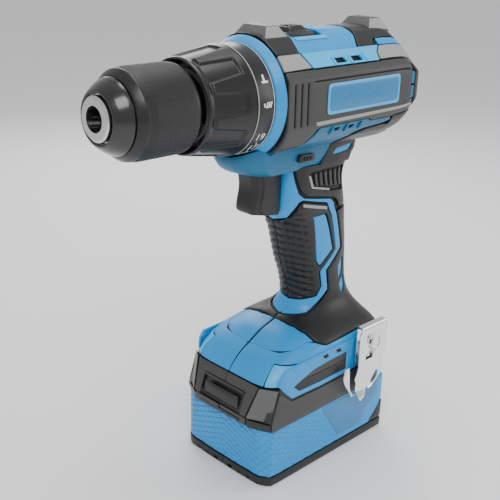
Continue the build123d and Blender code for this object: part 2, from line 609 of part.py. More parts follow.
# ---- battery ----
BATTERY_PLAN = [
    (-1.6, -BATTERY_HALF_Y), (-5.6, -30.5), (BATTERY_FRONT_X, -12), (BATTERY_FRONT_X, 12), (-5.6, 30.5),
    (-1.6, BATTERY_HALF_Y), (105, BATTERY_HALF_Y), (BATTERY_REAR_X, 32), (BATTERY_REAR_X, -32),
    (105, -BATTERY_HALF_Y)]
BASE_SIDE = [
    (-8, BATTERY_LOW_Z), (BATTERY_REAR_X, BATTERY_LOW_Z), (BATTERY_REAR_X, -209), (104.8, -209), (98, -216.4),
    (92, BASE_TOP_Z), (-8, BASE_TOP_Z)]
BUMPER_SIDE = [
    (-3.4, -164.9), (5.6, -167.0), (19.0, -180.9), (19.0, CASE_TOP_Z), (75, CASE_TOP_Z), (72, -192.6),
    (-7.4, -192.6), (-10.5, -190.4), (-11.3, -185.8)]
BUMPER_PLAN = [
    (-11.4, -22), (-10, -27), (-2.4, -37.6), (80, -37.6), (80, 37.6), (-2.4, 37.6), (-10, 27), (-11.4, 22)]
ARM_Y = 35.8                # inner face of the bumper's side arms


def battery():
    bumper_block = prism_y(BUMPER_SIDE, -38, 38) & prism_z(BUMPER_PLAN, -195, -160)
    bumper_block -= box(3, 80, -ARM_Y, ARM_Y, -194, CASE_TOP_Z + 0.01)
    bumper_block -= box(3, 20, -27.0, 27.0, CASE_TOP_Z, -160)
    pocket = box(-13, -5.0, -15, 15, -189.5, -172.5)
    save("battery_bumper", bumper_block - pocket)
    block = box(3, 101, -24.6, 24.6, CASE_TOP_Z - 0.1, -175.9) + box(3, 101, -28.1, 28.1, -175.9, -167.2)
    base = prism_y(BASE_SIDE, -40, 40) & prism_z(BATTERY_PLAN, -231, -190)
    shell = prism_z(BATTERY_PLAN, BASE_TOP_Z, CASE_TOP_Z) - base
    cavity = box(4, 102, -34.6, 34.6, -227.6, -184)
    case = shell + block - cavity - (prism_y(BUMPER_SIDE, -38, 38) & prism_z(BUMPER_PLAN, -195, -160)
                                     ) + box(3, 76, -ARM_Y, ARM_Y, -192.6, CASE_TOP_Z) - cavity
    case -= bumper_block
    for y in (-9, 0, 9):
        case -= box(58, 102, y - 2.2, y + 2.2, -178, -167)
    save("battery_case", case)
    save("battery_base", base - cavity)
    cells = Part()
    for k in range(5):
        for z in (-218.2, -199.2):
            cells += rod_y(CELL_R, -CELL_LENGTH / 2, CELL_LENGTH / 2, 14.5 + 19.0 * k, z)
    save("battery_cells", cells)
    contacts = Part()
    for y in (-9, 0, 9):
        for side in (-1, 1):
            contacts += box(59, 82, y + side * 1.7 - 0.4, y + side * 1.7 + 0.4, -177.9, -169)
    save("battery_contacts", contacts)
    save("latch_button", box(-8.6, -5.3, -13.5, 13.5, -184.5, -174.5))


if __name__ == "__main__":
    os.makedirs("parts", exist_ok=True)
    gearbox()
    spindle()
    chuck()
    clutch()
    motor()
    housing()
    trim()
    grips()
    controls()
    foot_fittings()
    battery()
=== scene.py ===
"""Visual model of the cordless drill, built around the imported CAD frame.

All measures are millimetres in the spindle frame: X runs along the spindle with the chuck pointing
to -X, x = 0 at the front of the blue collar ring, z = 0 on the axis, y = 0 on the parting plane and
-y on the side with the belt clip. place() turns them into metres in the row frame.
"""
import math

import bmesh
import bpy
import numpy as np
from mathutils import Matrix, Vector, geometry


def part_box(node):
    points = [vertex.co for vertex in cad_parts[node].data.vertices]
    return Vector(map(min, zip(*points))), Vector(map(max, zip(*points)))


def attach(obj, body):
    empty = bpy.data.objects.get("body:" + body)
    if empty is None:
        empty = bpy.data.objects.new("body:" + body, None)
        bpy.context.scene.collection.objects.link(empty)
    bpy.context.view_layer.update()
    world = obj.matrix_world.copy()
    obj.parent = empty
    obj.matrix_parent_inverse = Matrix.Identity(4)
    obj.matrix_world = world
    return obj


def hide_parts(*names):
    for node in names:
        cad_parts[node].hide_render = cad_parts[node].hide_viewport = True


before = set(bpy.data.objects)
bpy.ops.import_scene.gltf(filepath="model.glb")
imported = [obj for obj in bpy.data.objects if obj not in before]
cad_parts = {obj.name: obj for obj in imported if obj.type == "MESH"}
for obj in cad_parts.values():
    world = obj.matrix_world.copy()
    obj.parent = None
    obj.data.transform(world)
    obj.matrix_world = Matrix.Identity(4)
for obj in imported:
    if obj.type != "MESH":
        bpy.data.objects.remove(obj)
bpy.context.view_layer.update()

MM = 0.001
RING_LOW, RING_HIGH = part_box("collar_ring")
ORIGIN = np.array([RING_LOW[0], 0.0, (RING_LOW[2] + RING_HIGH[2]) / 2])


def place(points):
    """Spindle frame millimetres to row frame metres."""
    return np.asarray(points, float) * MM + ORIGIN


# ---------------------------------------------------------------- materials
MIX_FACTOR, MIX_A, MIX_B, MIX_RESULT = 0, 6, 7, 2      # the mix node's colour sockets


def new_material(name, colour, roughness, metallic=0.0, coat=0.0, specular=0.5):
    material = bpy.data.materials.new(name)
    material.use_nodes = True
    nodes = material.node_tree.nodes
    shader = nodes["Principled BSDF"]
    shader.inputs["Base Color"].default_value = (*colour, 1)
    shader.inputs["Roughness"].default_value = roughness
    shader.inputs["Metallic"].default_value = metallic
    shader.inputs["Specular IOR Level"].default_value = specular
    shader.inputs["Coat Weight"].default_value = coat
    shader.inputs["Coat Roughness"].default_value = 0.15
    return material


def add_node(material, kind, **values):
    node = material.node_tree.nodes.new(kind)
    for key, value in values.items():
        if key in node.inputs:
            node.inputs[key].default_value = value
        else:
            setattr(node, key, value)
    return node


def link(material, source, output, target, socket):
    material.node_tree.links.new(source.outputs[output], target.inputs[socket])


def grained(name, colour, roughness, grain=0.35, grain_size=0.6, depth=0.02, patchy=0.06, worn=0.0,
            metallic=0.0, coat=0.0, specular=0.5, stretch=(1, 1, 1)):
    """A moulded or machined surface: fine grain in the bump, patches in gloss and colour,
    and paler convex edges where hands and benches rub it. Sizes are millimetres."""
    material = new_material(name, colour, roughness, metallic, coat, specular)
    shader = material.node_tree.nodes["Principled BSDF"]
    where = add_node(material, "ShaderNodeTexCoord")
    mapping = add_node(material, "ShaderNodeMapping")
    mapping.inputs["Scale"].default_value = stretch
    link(material, where, "Object", mapping, "Vector")
    fine = add_node(material, "ShaderNodeTexNoise", Scale=1 / (grain_size * MM), Detail=3.0, Roughness=0.6)
    link(material, mapping, "Vector", fine, "Vector")
    broad = add_node(material, "ShaderNodeTexNoise", Scale=1 / (14 * MM), Detail=4.0, Roughness=0.55)
    link(material, mapping, "Vector", broad, "Vector")
    bump = add_node(material, "ShaderNodeBump", Strength=grain, Distance=depth * MM)
    link(material, fine, "Fac", bump, "Height")
    link(material, bump, "Normal", shader, "Normal")
    gloss = add_node(material, "ShaderNodeMapRange")
    gloss.inputs["To Min"].default_value = max(0.03, roughness - 0.09)
    gloss.inputs["To Max"].default_value = min(1.0, roughness + 0.09)
    link(material, broad, "Fac", gloss, "Value")
    link(material, gloss, "Result", shader, "Roughness")
    tone = add_node(material, "ShaderNodeMix", data_type="RGBA")
    tone.inputs[MIX_A].default_value = (*[c * (1 - patchy) for c in colour], 1)
    tone.inputs[MIX_B].default_value = (*[min(1, c * (1 + patchy) + 0.002) for c in colour], 1)
    link(material, broad, "Fac", tone, MIX_FACTOR)
    last = tone
    if worn > 0:
        shape = add_node(material, "ShaderNodeNewGeometry")
        edge = add_node(material, "ShaderNodeMapRange")
        edge.inputs["From Min"].default_value = 0.52
        edge.inputs["From Max"].default_value = 0.62
        edge.inputs["To Max"].default_value = worn
        link(material, shape, "Pointiness", edge, "Value")
        wear = add_node(material, "ShaderNodeMix", data_type="RGBA")
        wear.inputs[MIX_B].default_value = (*[min(1, c * 1.8 + 0.06) for c in colour], 1)
        material.node_tree.links.new(tone.outputs[MIX_RESULT], wear.inputs[MIX_A])
        link(material, edge, "Result", wear, MIX_FACTOR)
        last = wear
    material.node_tree.links.new(last.outputs[MIX_RESULT], shader.inputs["Base Color"])
    return material


BLUE = grained("blue_plastic", (0.000, 0.300, 0.720), 0.38, grain=0.30, grain_size=0.5, worn=0.10)
# painted highlight: a lighter copy of the blue plastic for facets and strips that catch the light
HIGHLIT_BLUE = grained("painted_highlight_blue", (0.040, 0.480, 0.900), 0.36, grain=0.25, grain_size=0.5, worn=0.08)
# painted shade: a darker copy of the blue plastic for the neck, the underside and the recessed rear bars
SHADED_BLUE = grained("painted_shade_blue", (0.000, 0.130, 0.270), 0.45, grain=0.30, grain_size=0.5, worn=0.08)
PLATE_BLUE = grained("plate_blue", (0.000, 0.190, 0.450), 0.30, grain=0.10, grain_size=0.9, coat=0.3)
PLATE_RIM = grained("plate_rim", (0.040, 0.440, 0.820), 0.30, grain=0.10, grain_size=0.9, coat=0.3)
BLACK = grained("black_plastic", (0.0085, 0.0085, 0.0090), 0.42, grain=0.35, grain_size=0.45, worn=0.16)
SATIN_BLACK = grained("collar_black", (0.0080, 0.0080, 0.0085), 0.34, grain=0.30, grain_size=0.40, worn=0.14)
GLOSS_BLACK = grained("chuck_gloss_black", (0.006, 0.006, 0.0065), 0.24, grain=0.10, grain_size=0.6, coat=0.5)
RUBBER = grained("black_rubber", (0.0095, 0.0095, 0.0100), 0.42, grain=0.50, grain_size=0.35, patchy=0.12,
                 specular=0.45)
GREY = grained("grey_rubber", (0.043, 0.042, 0.041), 0.50, grain=0.55, grain_size=0.40, patchy=0.08, worn=0.12)
# painted highlight: a mid grey copy of the grey rubber for faces half turned to the light
HALF_LIT_GREY = grained("painted_half_highlight_grey", (0.105, 0.103, 0.102), 0.46, grain=0.5, grain_size=0.40, patchy=0.07,
                   worn=0.12)
# painted highlight: a pale copy of the grey rubber for facets, strips and edges that catch the light
HIGHLIT_GREY = grained("painted_highlight_grey", (0.330, 0.328, 0.325), 0.42, grain=0.45, grain_size=0.40, patchy=0.05)
# painted shade: near-black for the cores and slabs that show in gaps, grooves, slots and recesses
SHADE_BLACK = grained("painted_shade_black", (0.004, 0.004, 0.005), 0.65, grain=0.2, grain_size=0.6)
STEEL = grained("ground_steel", (0.62, 0.62, 0.63), 0.24, grain=0.25, grain_size=0.25, metallic=1.0,
                stretch=(1, 6, 6))
CHROME = grained("bright_steel", (0.86, 0.86, 0.87), 0.13, grain=0.10, grain_size=0.8, metallic=1.0)
DARK_STEEL = grained("jaw_steel", (0.22, 0.22, 0.23), 0.34, grain=0.3, grain_size=0.25, metallic=1.0)
COPPER = grained("copper", (0.72, 0.36, 0.20), 0.30, grain=0.2, grain_size=0.5, metallic=1.0)
NYLON = grained("gearbox_nylon", (0.16, 0.16, 0.17), 0.5, grain=0.4, grain_size=0.5)
FERRITE = grained("ferrite", (0.05, 0.05, 0.055), 0.55, grain=0.5, grain_size=0.3)
CELL_WRAP = grained("cell_wrap", (0.04, 0.22, 0.19), 0.28, grain=0.1, grain_size=0.8)
WHITE_INK = grained("white_ink", (0.86, 0.86, 0.85), 0.5, grain=0.15, grain_size=0.3, patchy=0.02)
LINE_GREY = grained("line_grey", (0.42, 0.42, 0.42), 0.45, grain=0.15, grain_size=0.3, patchy=0.02)


# ---------------------------------------------------------------- mesh tools
def build(name, body, points, faces, materials, face_slots=None, sharp=35.0, stands_for=(), slot=None):
    """A mesh object from spindle-frame points, smooth except at edges sharper than the angle."""
    mesh = bpy.data.meshes.new(name)
    mesh.from_pydata([tuple(p) for p in place(points)], [], [tuple(f) for f in faces])
    for material in materials:
        mesh.materials.append(material)
    if face_slots is not None:
        mesh.polygons.foreach_set("material_index", np.asarray(face_slots, np.int32))
    mesh.polygons.foreach_set("use_smooth", np.ones(len(mesh.polygons), bool))
    mesh.update()
    bm = bmesh.new()
    bm.from_mesh(mesh)
    bmesh.ops.remove_doubles(bm, verts=bm.verts, dist=0.0005 * MM)
    bmesh.ops.recalc_face_normals(bm, faces=bm.faces)
    bm.to_mesh(mesh)
    bm.free()
    mesh.set_sharp_from_angle(angle=math.radians(sharp))
    piece = bpy.data.objects.new(name, mesh)
    bpy.context.scene.collection.objects.link(piece)
    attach(piece, body)
    if stands_for:
        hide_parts(*stands_for)
    return piece


class Shape:
    """Points and faces gathered from several makers into one mesh."""

    def __init__(self):
        self.points, self.faces, self.slots = [], [], []

    def add(self, points, faces, slot=0):
        start = len(self.points)
        self.points += [tuple(p) for p in points]
        self.faces += [tuple(i + start for i in face) for face in faces]
        self.slots += list(slot) if isinstance(slot, (list, np.ndarray)) else [slot] * len(faces)
        return self

    def build(self, name, body, materials, **more):
        return build(name, body, self.points, self.faces, materials, self.slots, **more)


def grid_faces(rows, columns, wrap_rows=False, wrap_columns=False):
    faces = []
    for i in range(rows if wrap_rows else rows - 1):
        for j in range(columns if wrap_columns else columns - 1):
            a, b = i * columns + j, i * columns + (j + 1) % columns
            c, d = ((i + 1) % rows) * columns + (j + 1) % columns, ((i + 1) % rows) * columns + j
            faces.append((a, b, c, d))
    return faces


def turned(profile, steps=128, closed=True, ripple=None):
    """Surface of revolution about the spindle from (x, radius) points."""
    profile = np.asarray(profile, float)
    angles = np.arange(steps) * 2 * math.pi / steps
    x = np.repeat(profile[:, 0], steps)
    r = np.repeat(profile[:, 1], steps)
    a = np.tile(angles, len(profile))
    if ripple is not None:
        r = r + ripple(x, a)
    points = np.stack([x, -r * np.sin(a), r * np.cos(a)], 1)
    return points, grid_faces(len(profile), steps, closed, True)


def rounded(outline, radius, steps=4, closed=True):
    """The outline with its corners rounded; radius is one number or one for each corner."""
    outline = [np.asarray(p, float) for p in outline]
    count = len(outline)
    radii = [radius] * count if np.isscalar(radius) else list(radius)
    result = []
    for k in range(count):
        if not closed and k in (0, count - 1):
            result.append(outline[k])
            continue
        before, here, after = outline[k - 1], outline[k], outline[(k + 1) % count]
        e1, e2 = before - here, after - here
        l1, l2 = np.linalg.norm(e1), np.linalg.norm(e2)
        if radii[k] <= 0 or l1 < 1e-6 or l2 < 1e-6:
            result.append(here)
            continue
        e1, e2 = e1 / l1, e2 / l2
        turn = math.acos(max(-1.0, min(1.0, float(e1 @ e2))))
        if turn > math.pi - 0.02 or turn < 0.02:
            result.append(here)
            continue
        cut = min(radii[k] / math.tan(turn / 2), 0.48 * l1, 0.48 * l2)
        start, end = here + e1 * cut, here + e2 * cut
        for i in range(steps + 1):
            t = i / steps
            result.append((1 - t) ** 2 * start + 2 * t * (1 - t) * here + t * t * end)
    return np.array(result)


def densify(outline, step):
    points = []
    count = len(outline)
    for k in range(count):
        a, b = outline[k], outline[(k + 1) % count]
        pieces = max(1, int(math.ceil(np.linalg.norm(b - a) / step)))
        points += [a + (b - a) * i / pieces for i in range(pieces)]
    return np.array(points)


def area_of(outline):
    x, y = outline[:, 0], outline[:, 1]
    return 0.5 * float(np.sum(x * np.roll(y, -1) - np.roll(x, -1) * y))


def inset(outline, distance):
    """Moves an anticlockwise outline inwards (outwards if negative), with mitred corners."""
    before, after = np.roll(outline, 1, 0), np.roll(outline, -1, 0)
    e1, e2 = outline - before, after - outline
    e1 /= np.maximum(np.linalg.norm(e1, axis=1, keepdims=True), 1e-9)
    e2 /= np.maximum(np.linalg.norm(e2, axis=1, keepdims=True), 1e-9)
    n1, n2 = np.stack([-e1[:, 1], e1[:, 0]], 1), np.stack([-e2[:, 1], e2[:, 0]], 1)
    middle = n1 + n2
    middle /= np.maximum(np.linalg.norm(middle, axis=1, keepdims=True), 1e-9)
    stretch = 1 / np.maximum((middle * n1).sum(1, keepdims=True), 0.5)
    return outline + middle * stretch * distance


def inside(points, loop):
    x, y = points[:, 0], points[:, 1]
    result = np.zeros(len(points), bool)
    ax, ay = loop[:, 0], loop[:, 1]
    bx, by = np.roll(ax, -1), np.roll(ay, -1)
    for x0, y0, x1, y1 in zip(ax, ay, bx, by):
        cross = (y0 > y) != (y1 > y)
        with np.errstate(divide="ignore", invalid="ignore"):
            at = (x1 - x0) * (y - y0) / (y1 - y0) + x0
        result ^= cross & (x < at)
    return result


def fill(loops, step, rows=()):
    """Triangles inside the first loop and outside the others, with grid points in between."""
    outer = loops[0]
    low, high = outer.min(0), outer.max(0)
    us = np.arange(math.floor(low[0] / step) * step, high[0] + step, step)
    vs = np.array(sorted(set(np.round(np.arange(
        math.floor(low[1] / step) * step, high[1] + step, step), 4)) | set(rows)))
    vs = vs[(vs >= low[1]) & (vs <= high[1])]
    grid = np.array([(u, v) for u in us for v in vs])
    keep = inside(grid, inset(outer, step * 0.25)) if len(grid) else np.zeros(0, bool)
    for hole in loops[1:]:
        keep &= ~inside(grid, inset(hole, -step * 0.25))
    points = np.concatenate(list(loops) + ([grid[keep]] if keep.any() else []))
    edges, start = [], 0
    for loop in loops:
        count = len(loop)
        edges += [(start + k, start + (k + 1) % count) for k in range(count)]
        start += count
    verts, _, faces, *_ = geometry.delaunay_2d_cdt(
        [Vector(p) for p in points], edges, [], 0, 1e-5)
    verts = np.clip(np.array([(v.x, v.y) for v in verts]), low, high)
    centres = np.array([verts[list(f)].mean(0) for f in faces])
    good = inside(centres, outer)
    for hole in loops[1:]:
        good &= ~inside(centres, hole)
    return verts, [f for f, g in zip(faces, good) if g]


def panel(shape, at, outline, height, depth=-1.0, bevel=0.5, step=3.0, rows=(), holes=(), corner=0.6,
          slot=0, side_slot=None, edge_step=None, profile=None):
    """A raised closed plate on the skin `at`, from height down to depth, with a rolled edge.
    outline and holes are in the skin's own (u, v) millimetres. profile may change the height:
    it takes (u, v) arrays and gives millimetres to add."""
    side_slot = slot if side_slot is None else side_slot
    edge_step = edge_step or step
    loops = []
    for loop in [outline, *holes]:
        loop = rounded(loop, corner) if corner else np.asarray(loop, float)
        loop = densify(loop, edge_step)
        if area_of(loop) < 0:
            loop = loop[::-1]
        loops.append(loop)
    signs = [1] + [-1] * len(holes)
    tops = [inset(loop, bevel * sign) for loop, sign in zip(loops, signs)]
    verts, faces = fill(tops, step, rows)

    def lift(uv, h):
        extra = profile(uv[:, 0], uv[:, 1]) if profile else 0.0
        return at(uv[:, 0], uv[:, 1], h + extra)

    shape.add(lift(verts, height), faces, slot)
    shape.add(at(verts[:, 0], verts[:, 1], np.full(len(verts), float(depth))),
              [tuple(reversed(f)) for f in faces], side_slot)
    for loop, top, sign in zip(loops, tops, signs):
        count = len(loop)
        rings = [lift(top, height)]
        for turn in (30, 60, 90):
            a = math.radians(turn)
            ring = inset(loop, sign * bevel * (1 - math.sin(a)))
            rings.append(lift(ring, height - bevel * (1 - math.cos(a))))
        rings.append(at(top[:, 0], top[:, 1], np.full(count, float(depth))))
        shape.add(np.concatenate(rings), grid_faces(len(rings), count, False, True),
                  [slot] * (3 * count) + [side_slot] * count)


def soft_skin(surface, e=0.5, outward=1):
    """Turns surface(u, v) into at(u, v, height), height being measured along the outward normal."""
    def at(u, v, h=0.0):
        u, v = np.asarray(u, float), np.asarray(v, float)
        p = surface(u, v)
        du = surface(u + e, v) - surface(u - e, v)
        dv = surface(u, v + e) - surface(u, v - e)
        n = np.cross(dv, du) * outward
        n /= np.maximum(np.linalg.norm(n, axis=1, keepdims=True), 1e-12)
        return p + n * np.reshape(np.broadcast_to(h, u.shape), (-1, 1))
    return at


def along(outline):
    """Running length along an open line."""
    steps = np.linalg.norm(np.diff(outline, axis=0), axis=1)
    return np.concatenate([[0], np.cumsum(steps)])


# ---------------------------------------------------------------- camera, light, floor
def camera():
    azimuth, elevation, roll = math.radians(-44.68), math.radians(20.56), math.radians(1.44)
    back = Vector((math.sin(azimuth) * math.cos(elevation), -math.cos(azimuth) * math.cos(elevation),
                   math.sin(elevation)))
    right = Vector((math.cos(azimuth), math.sin(azimuth), 0))
    up = back.cross(right)
    tilted_right = right * math.cos(roll) + up * math.sin(roll)
    tilted_up = up * math.cos(roll) - right * math.sin(roll)
    data = bpy.data.cameras.new("camera")
    data.lens = 61.64
    data.sensor_width = 36
    data.shift_x, data.shift_y = 0.0028, 0.0038
    data.clip_start, data.clip_end = 0.01, 20
    thing = bpy.data.objects.new("camera", data)
    bpy.context.scene.collection.objects.link(thing)
    turn = Matrix((tilted_right, tilted_up, back)).transposed().to_4x4()
    thing.matrix_world = Matrix.Translation(Vector(place([-319.0, -334.5, 84.7]))) @ turn
    bpy.context.scene.camera = thing


def area_light(name, at, target, size, power, colour=(1, 1, 1)):
    data = bpy.data.lights.new(name, "AREA")
    data.shape, data.size, data.energy, data.color = "DISK", size, power, colour
    thing = bpy.data.objects.new(name, data)
    bpy.context.scene.collection.objects.link(thing)
    thing.location = at
    thing.rotation_euler = (Vector(target) - Vector(at)).to_track_quat("-Z", "Y").to_euler()


def studio():
    world = bpy.data.worlds.new("studio")
    bpy.context.scene.world = world
    world.use_nodes = True
    back = world.node_tree.nodes["Background"]
    back.inputs["Color"].default_value = (0.98, 0.99, 1.0, 1)
    back.inputs["Strength"].default_value = 0.66
    middle = (0, 0, 0.14)
    area_light("key", (-0.55, -0.55, 0.95), middle, 0.55, 5.2)
    area_light("top", (0.10, 0.05, 1.05), middle, 0.50, 3.4)
    area_light("side", (0.75, -0.55, 0.45), middle, 0.50, 2.0)
    area_light("far_rim", (0.45, 0.70, 0.55), middle, 0.50, 3.0)
    floor = bpy.data.meshes.new("floor")
    half = 6.0
    floor.from_pydata([(-half, -half, 0), (half, -half, 0), (half, half, 0), (-half, half, 0)], [], [(0, 1, 2, 3)])
    pale = new_material("floor_pale", (0.97, 0.97, 0.97), 0.9, specular=0.1)
    floor.materials.append(pale)
    thing = bpy.data.objects.new("floor", floor)
    bpy.context.scene.collection.objects.link(thing)


# ---------------------------------------------------------------- chuck and collar
def chuck():
    cone = [(-88.9, 12.1), (-90.3, 12.2), (-90.9, 12.7), (-90.9, 13.4), (-90.4, 14.1), (-88.6, 15.7), (-86.4, 17.2),
            (-84.2, 18.4), (-82.7, 19.1), (-82.35, 19.0), (-82.3, 18.4), (-82.3, 17.1), (-84.0, 14.9), (-87.4, 12.6)]
    Shape().add(*turned(rounded(cone, 0.25, 2), 160)).build(
        "chuck_nose_cover", "spindle", [GLOSS_BLACK], stands_for=["chuck_nose"], slot="chuck_black")
    lines, slant = 60, 1.75

    def knurl(x, a):
        ridge = np.minimum(np.abs(np.sin(lines * a + slant * x)), np.abs(np.sin(lines * a - slant * x)))
        fade = np.clip(np.minimum(x + 77.2, -46.6 - x) / 0.6, 0, 1)
        return 0.42 * (ridge - 0.75) * fade

    back = [(x, np.interp(x, [-77.6, -72, -48, -46.4], [22.65, 23.35, 23.35, 23.1]))
            for x in np.arange(-77.6, -46.4, 0.38)]
    skin = [(-81.6, 18.8), (-81.6, 19.3), (-81.0, 20.0), (-78.4, 22.15), (-77.9, 22.5), *back, (-45.6, 22.9),
            (-44.8, 22.4), (-44.6, 21.9), (-44.8, 21.65), (-73.9, 21.65), (-73.9, 18.8)]
    Shape().add(*turned(skin, 536, ripple=knurl)).build(
        "chuck_sleeve_knurled", "chuck_sleeve", [SATIN_BLACK], sharp=50, stands_for=["chuck_sleeve"],
        slot="chuck_black")


RIBS = 9
RIB_PERIOD = 2 * math.pi / RIBS
RIB_CENTRE = math.radians(62.0)


def collar_radius(x):
    return np.interp(x, [-41.3, -12.4, -0.4], [25.0, 29.35, 29.7])


def rib_height(x, a):
    """Raised fingers that run forward from the collar's rear band, with sloped edges."""
    centre = (a - RIB_CENTRE + RIB_PERIOD / 2) % RIB_PERIOD - RIB_PERIOD / 2
    radius = collar_radius(x)
    half = np.interp(x, [-37.5, -18.0], [2.7, 5.2])
    side = half - np.abs(centre) * radius
    front = x + 37.6
    finger = np.minimum(side, front)
    band = x + 18.0
    distance = np.maximum(finger, band)
    blend = np.clip(distance / 1.3 + 0.5, 0, 1)
    end = np.clip((-13.4 - x) / 0.8, 0, 1)
    return 1.25 * (blend * blend * (3 - 2 * blend)) * np.clip(end + 0.45, 0, 1)


def collar_ripple(x, a):
    on_grip = (x > -40.5) & (x < -12.9)
    return np.where(on_grip, rib_height(x, a) - 0.9 * np.clip((x + 40.5) / 2, 0, 1), 0.0)


def torque_collar():
    outside = [(x, float(collar_radius(x)) + 0.25) for x in np.arange(-40.9, -12.8, 0.33)]
    profile = [(-41.0, 23.8), (-41.8, 23.9), (-42.1, 24.3), (-41.9, 24.9), (-41.3, 25.2), *outside,
               (-12.7, 29.5), (-12.5, 29.2), (-12.1, 29.2), (-11.95, 29.45),
               (-1.1, 29.72), (-0.6, 29.6), (-0.45, 29.2), (-0.45, 25.1), (-3.1, 25.0), (-3.1, 23.8)]
    shape = Shape().add(*turned(profile, 720, ripple=collar_ripple))
    shape.add(*turned([(-12.62, 29.3), (-12.5, 29.62), (-12.1, 29.62), (-11.98, 29.3)], 200), slot=1)
    shape.add(*turned([(-1.55, 29.5), (-1.5, 29.82), (-1.25, 29.82), (-1.2, 29.5)], 200), slot=2)
    shape.build("torque_collar_shell", "torque_collar", [SATIN_BLACK, LINE_GREY, WHITE_INK], sharp=40,
                stands_for=["torque_collar"], slot="black_plastic")


MARK_RADIUS = 29.64
NUMBER_RADIUS = 29.66
MARK_X = -6.4


def ink(name, flat, angle, x_mid, size):
    """Flat symbol outlines, (across, up) in units of size, printed on the collar's number band.
    Across runs with the rotation and up points to the chuck."""
    shape = Shape()

    def at(u, v, h=0.0):
        a = angle + np.asarray(u) / MARK_RADIUS
        r = MARK_RADIUS + h
        return np.stack([x_mid + np.asarray(v), -r * np.sin(a), r * np.cos(a)], 1)

    for outline in flat:
        loop = np.array(outline, float) * size
        panel(shape, at, loop, 0.10, depth=-0.05, bevel=0.02, step=1.0, corner=0)
    shape.build(name, "torque_collar", [WHITE_INK], slot="black_plastic")


def scale_marks():
    hammer = [[(-1.0, 0.85), (-1.15, 0.35), (-0.25, 0.35), (-0.25, -1.15), (0.3, -1.15), (0.3, 0.35), (0.95, 0.35),
               (0.75, 0.85)]]
    bit = [[(-0.35 + 0.75 * k, -0.9), (0.1 + 0.75 * k, -0.9), (0.65 + 0.75 * k, 0.55), (0.2 + 0.75 * k, 0.8)]
           for k in (-2, -1, 0)] + [[(0.85, -0.6), (1.55, -0.6), (1.25, 0.5), (1.0, 0.5)]]
    ink("mark_hammer", [[(v, -u) for u, v in loop] for loop in hammer], math.radians(61.9), MARK_X, 2.3)
    ink("mark_drill", [[(v, -u) for u, v in loop] for loop in bit], math.radians(87.7), -6.3, 1.9)
    for k in range(10):
        angle = math.radians(123.4 + 17.1 * k)
        number(str(19 - 2 * k), angle)
        if k < 9:
            dot = [(0.45 * math.cos(t), 0.45 * math.sin(t)) for t in np.arange(8) * math.pi / 4]
            ink(f"mark_dot_{18 - 2 * k}", [dot], angle + math.radians(8.55), MARK_X, 1.0)


def number(words, angle):
    """A number of the torque scale, wrapped on the band."""
    curve = bpy.data.curves.new(f"number_{words}", "FONT")
    curve.body = words
    curve.size = 6.6
    curve.align_x, curve.align_y = "CENTER", "CENTER"
    curve.extrude = 0.06
    curve.resolution_u = 3
    loose = bpy.data.objects.new(f"loose_{words}", curve)
    bpy.context.scene.collection.objects.link(loose)
    bpy.context.view_layer.update()
    mesh = bpy.data.meshes.new_from_object(loose)
    bpy.data.objects.remove(loose)
    co = np.array([v.co[:] for v in mesh.vertices])
    faces = [tuple(p.vertices) for p in mesh.polygons]
    a = angle - co[:, 1] / NUMBER_RADIUS
    x = MARK_X + co[:, 0]
    r = NUMBER_RADIUS + co[:, 2]
    points = np.stack([x, -r * np.sin(a), r * np.cos(a)], 1)
    Shape().add(points, faces).build(f"mark_{words}", "torque_collar", [WHITE_INK], slot="black_plastic")


def collar_ring():
    outline = [(0.0, 25.3), (0.0, 29.3), (0.5, 30.1), (4.3, 32.9), (4.9, 33.0), (5.0, 32.6), (5.0, 28.5), (9.0, 28.4),
               (9.0, 25.3)]
    Shape().add(*turned(rounded(outline, 0.3, 2), 200)).build(
        "collar_ring_blue", "housing", [BLUE], stands_for=["collar_ring"], slot="blue_plastic")


# ---------------------------------------------------------------- barrel
BARREL_HALF = np.array([
    (0, 34), (7.4, 33.6), (13.2, 31.7), (23.4, 24.6), (29.7, 16.8), (33.4, 12.4), (33.4, -13), (30.4, -19.8),
    (26.4, -24.9), (19, -30.3), (8.5, -33.3), (0, -34)], float)
CORE_HALF = np.array([
    (0, 32.4), (7, 32.0), (12.4, 30.1), (22.1, 23.4), (28.0, 15.2), (30.8, 11.8), (30.8, -12.3), (27.8, -18.3),
    (24.3, -23.0), (17.8, -28.3), (7.9, -31.3), (0, -31.8)], float)
TAPER = np.array([(100, 1, 1), (108, 1, 0.985), (113, 0.995, 0.93), (117, 0.985, 0.80), (121, 0.96, 0.64),
                  (124, 0.90, 0.48), (126.4, 0.82, 0.36)], float)
_ring = rounded(BARREL_HALF, 1.2, 5, closed=False)
_length = along(_ring)
AROUND = np.arange(0, _length[-1] + 0.01, 0.2)
RING_Y = np.interp(AROUND, _length, _ring[:, 0])
RING_Z = np.interp(AROUND, _length, _ring[:, 1])


def girth(z):
    """Distance round the barrel from the top line to the height z of its full section."""
    return float(np.interp(-z, -RING_Z, AROUND))


def girth_y(y):
    """The same for a half width y on the upper part of the section."""
    return float(np.interp(y, RING_Y[:180], AROUND[:180]))


def taper(x):
    return np.interp(x, TAPER[:, 0], TAPER[:, 1]), np.interp(x, TAPER[:, 0], TAPER[:, 2])


def barrel_surface(u, v):
    y = np.interp(np.abs(v), AROUND, RING_Y)
    z = np.interp(np.abs(v), AROUND, RING_Z)
    sy, sz = taper(u)
    return np.stack([u, -np.sign(v) * y * sy, z * sz], 1)


BARREL_SKIN = soft_skin(barrel_surface, 0.35)
FACET_TOP, FACET_LOW = girth(24.6), girth(16.8)
SIDE_TOP, SIDE_LOW = girth(12.4), girth(-13.0)
EDGES = [girth_y(7.4), girth_y(13.2), FACET_TOP, FACET_LOW, SIDE_TOP, SIDE_LOW, girth(-19.8), girth(-24.9),
         girth(-30.3), girth(-33.3)]
CREASES = sorted([v + d for v in EDGES for d in (-0.55, 0.0, 0.55)])
ALL_CREASES = sorted(CREASES + [-v for v in CREASES])


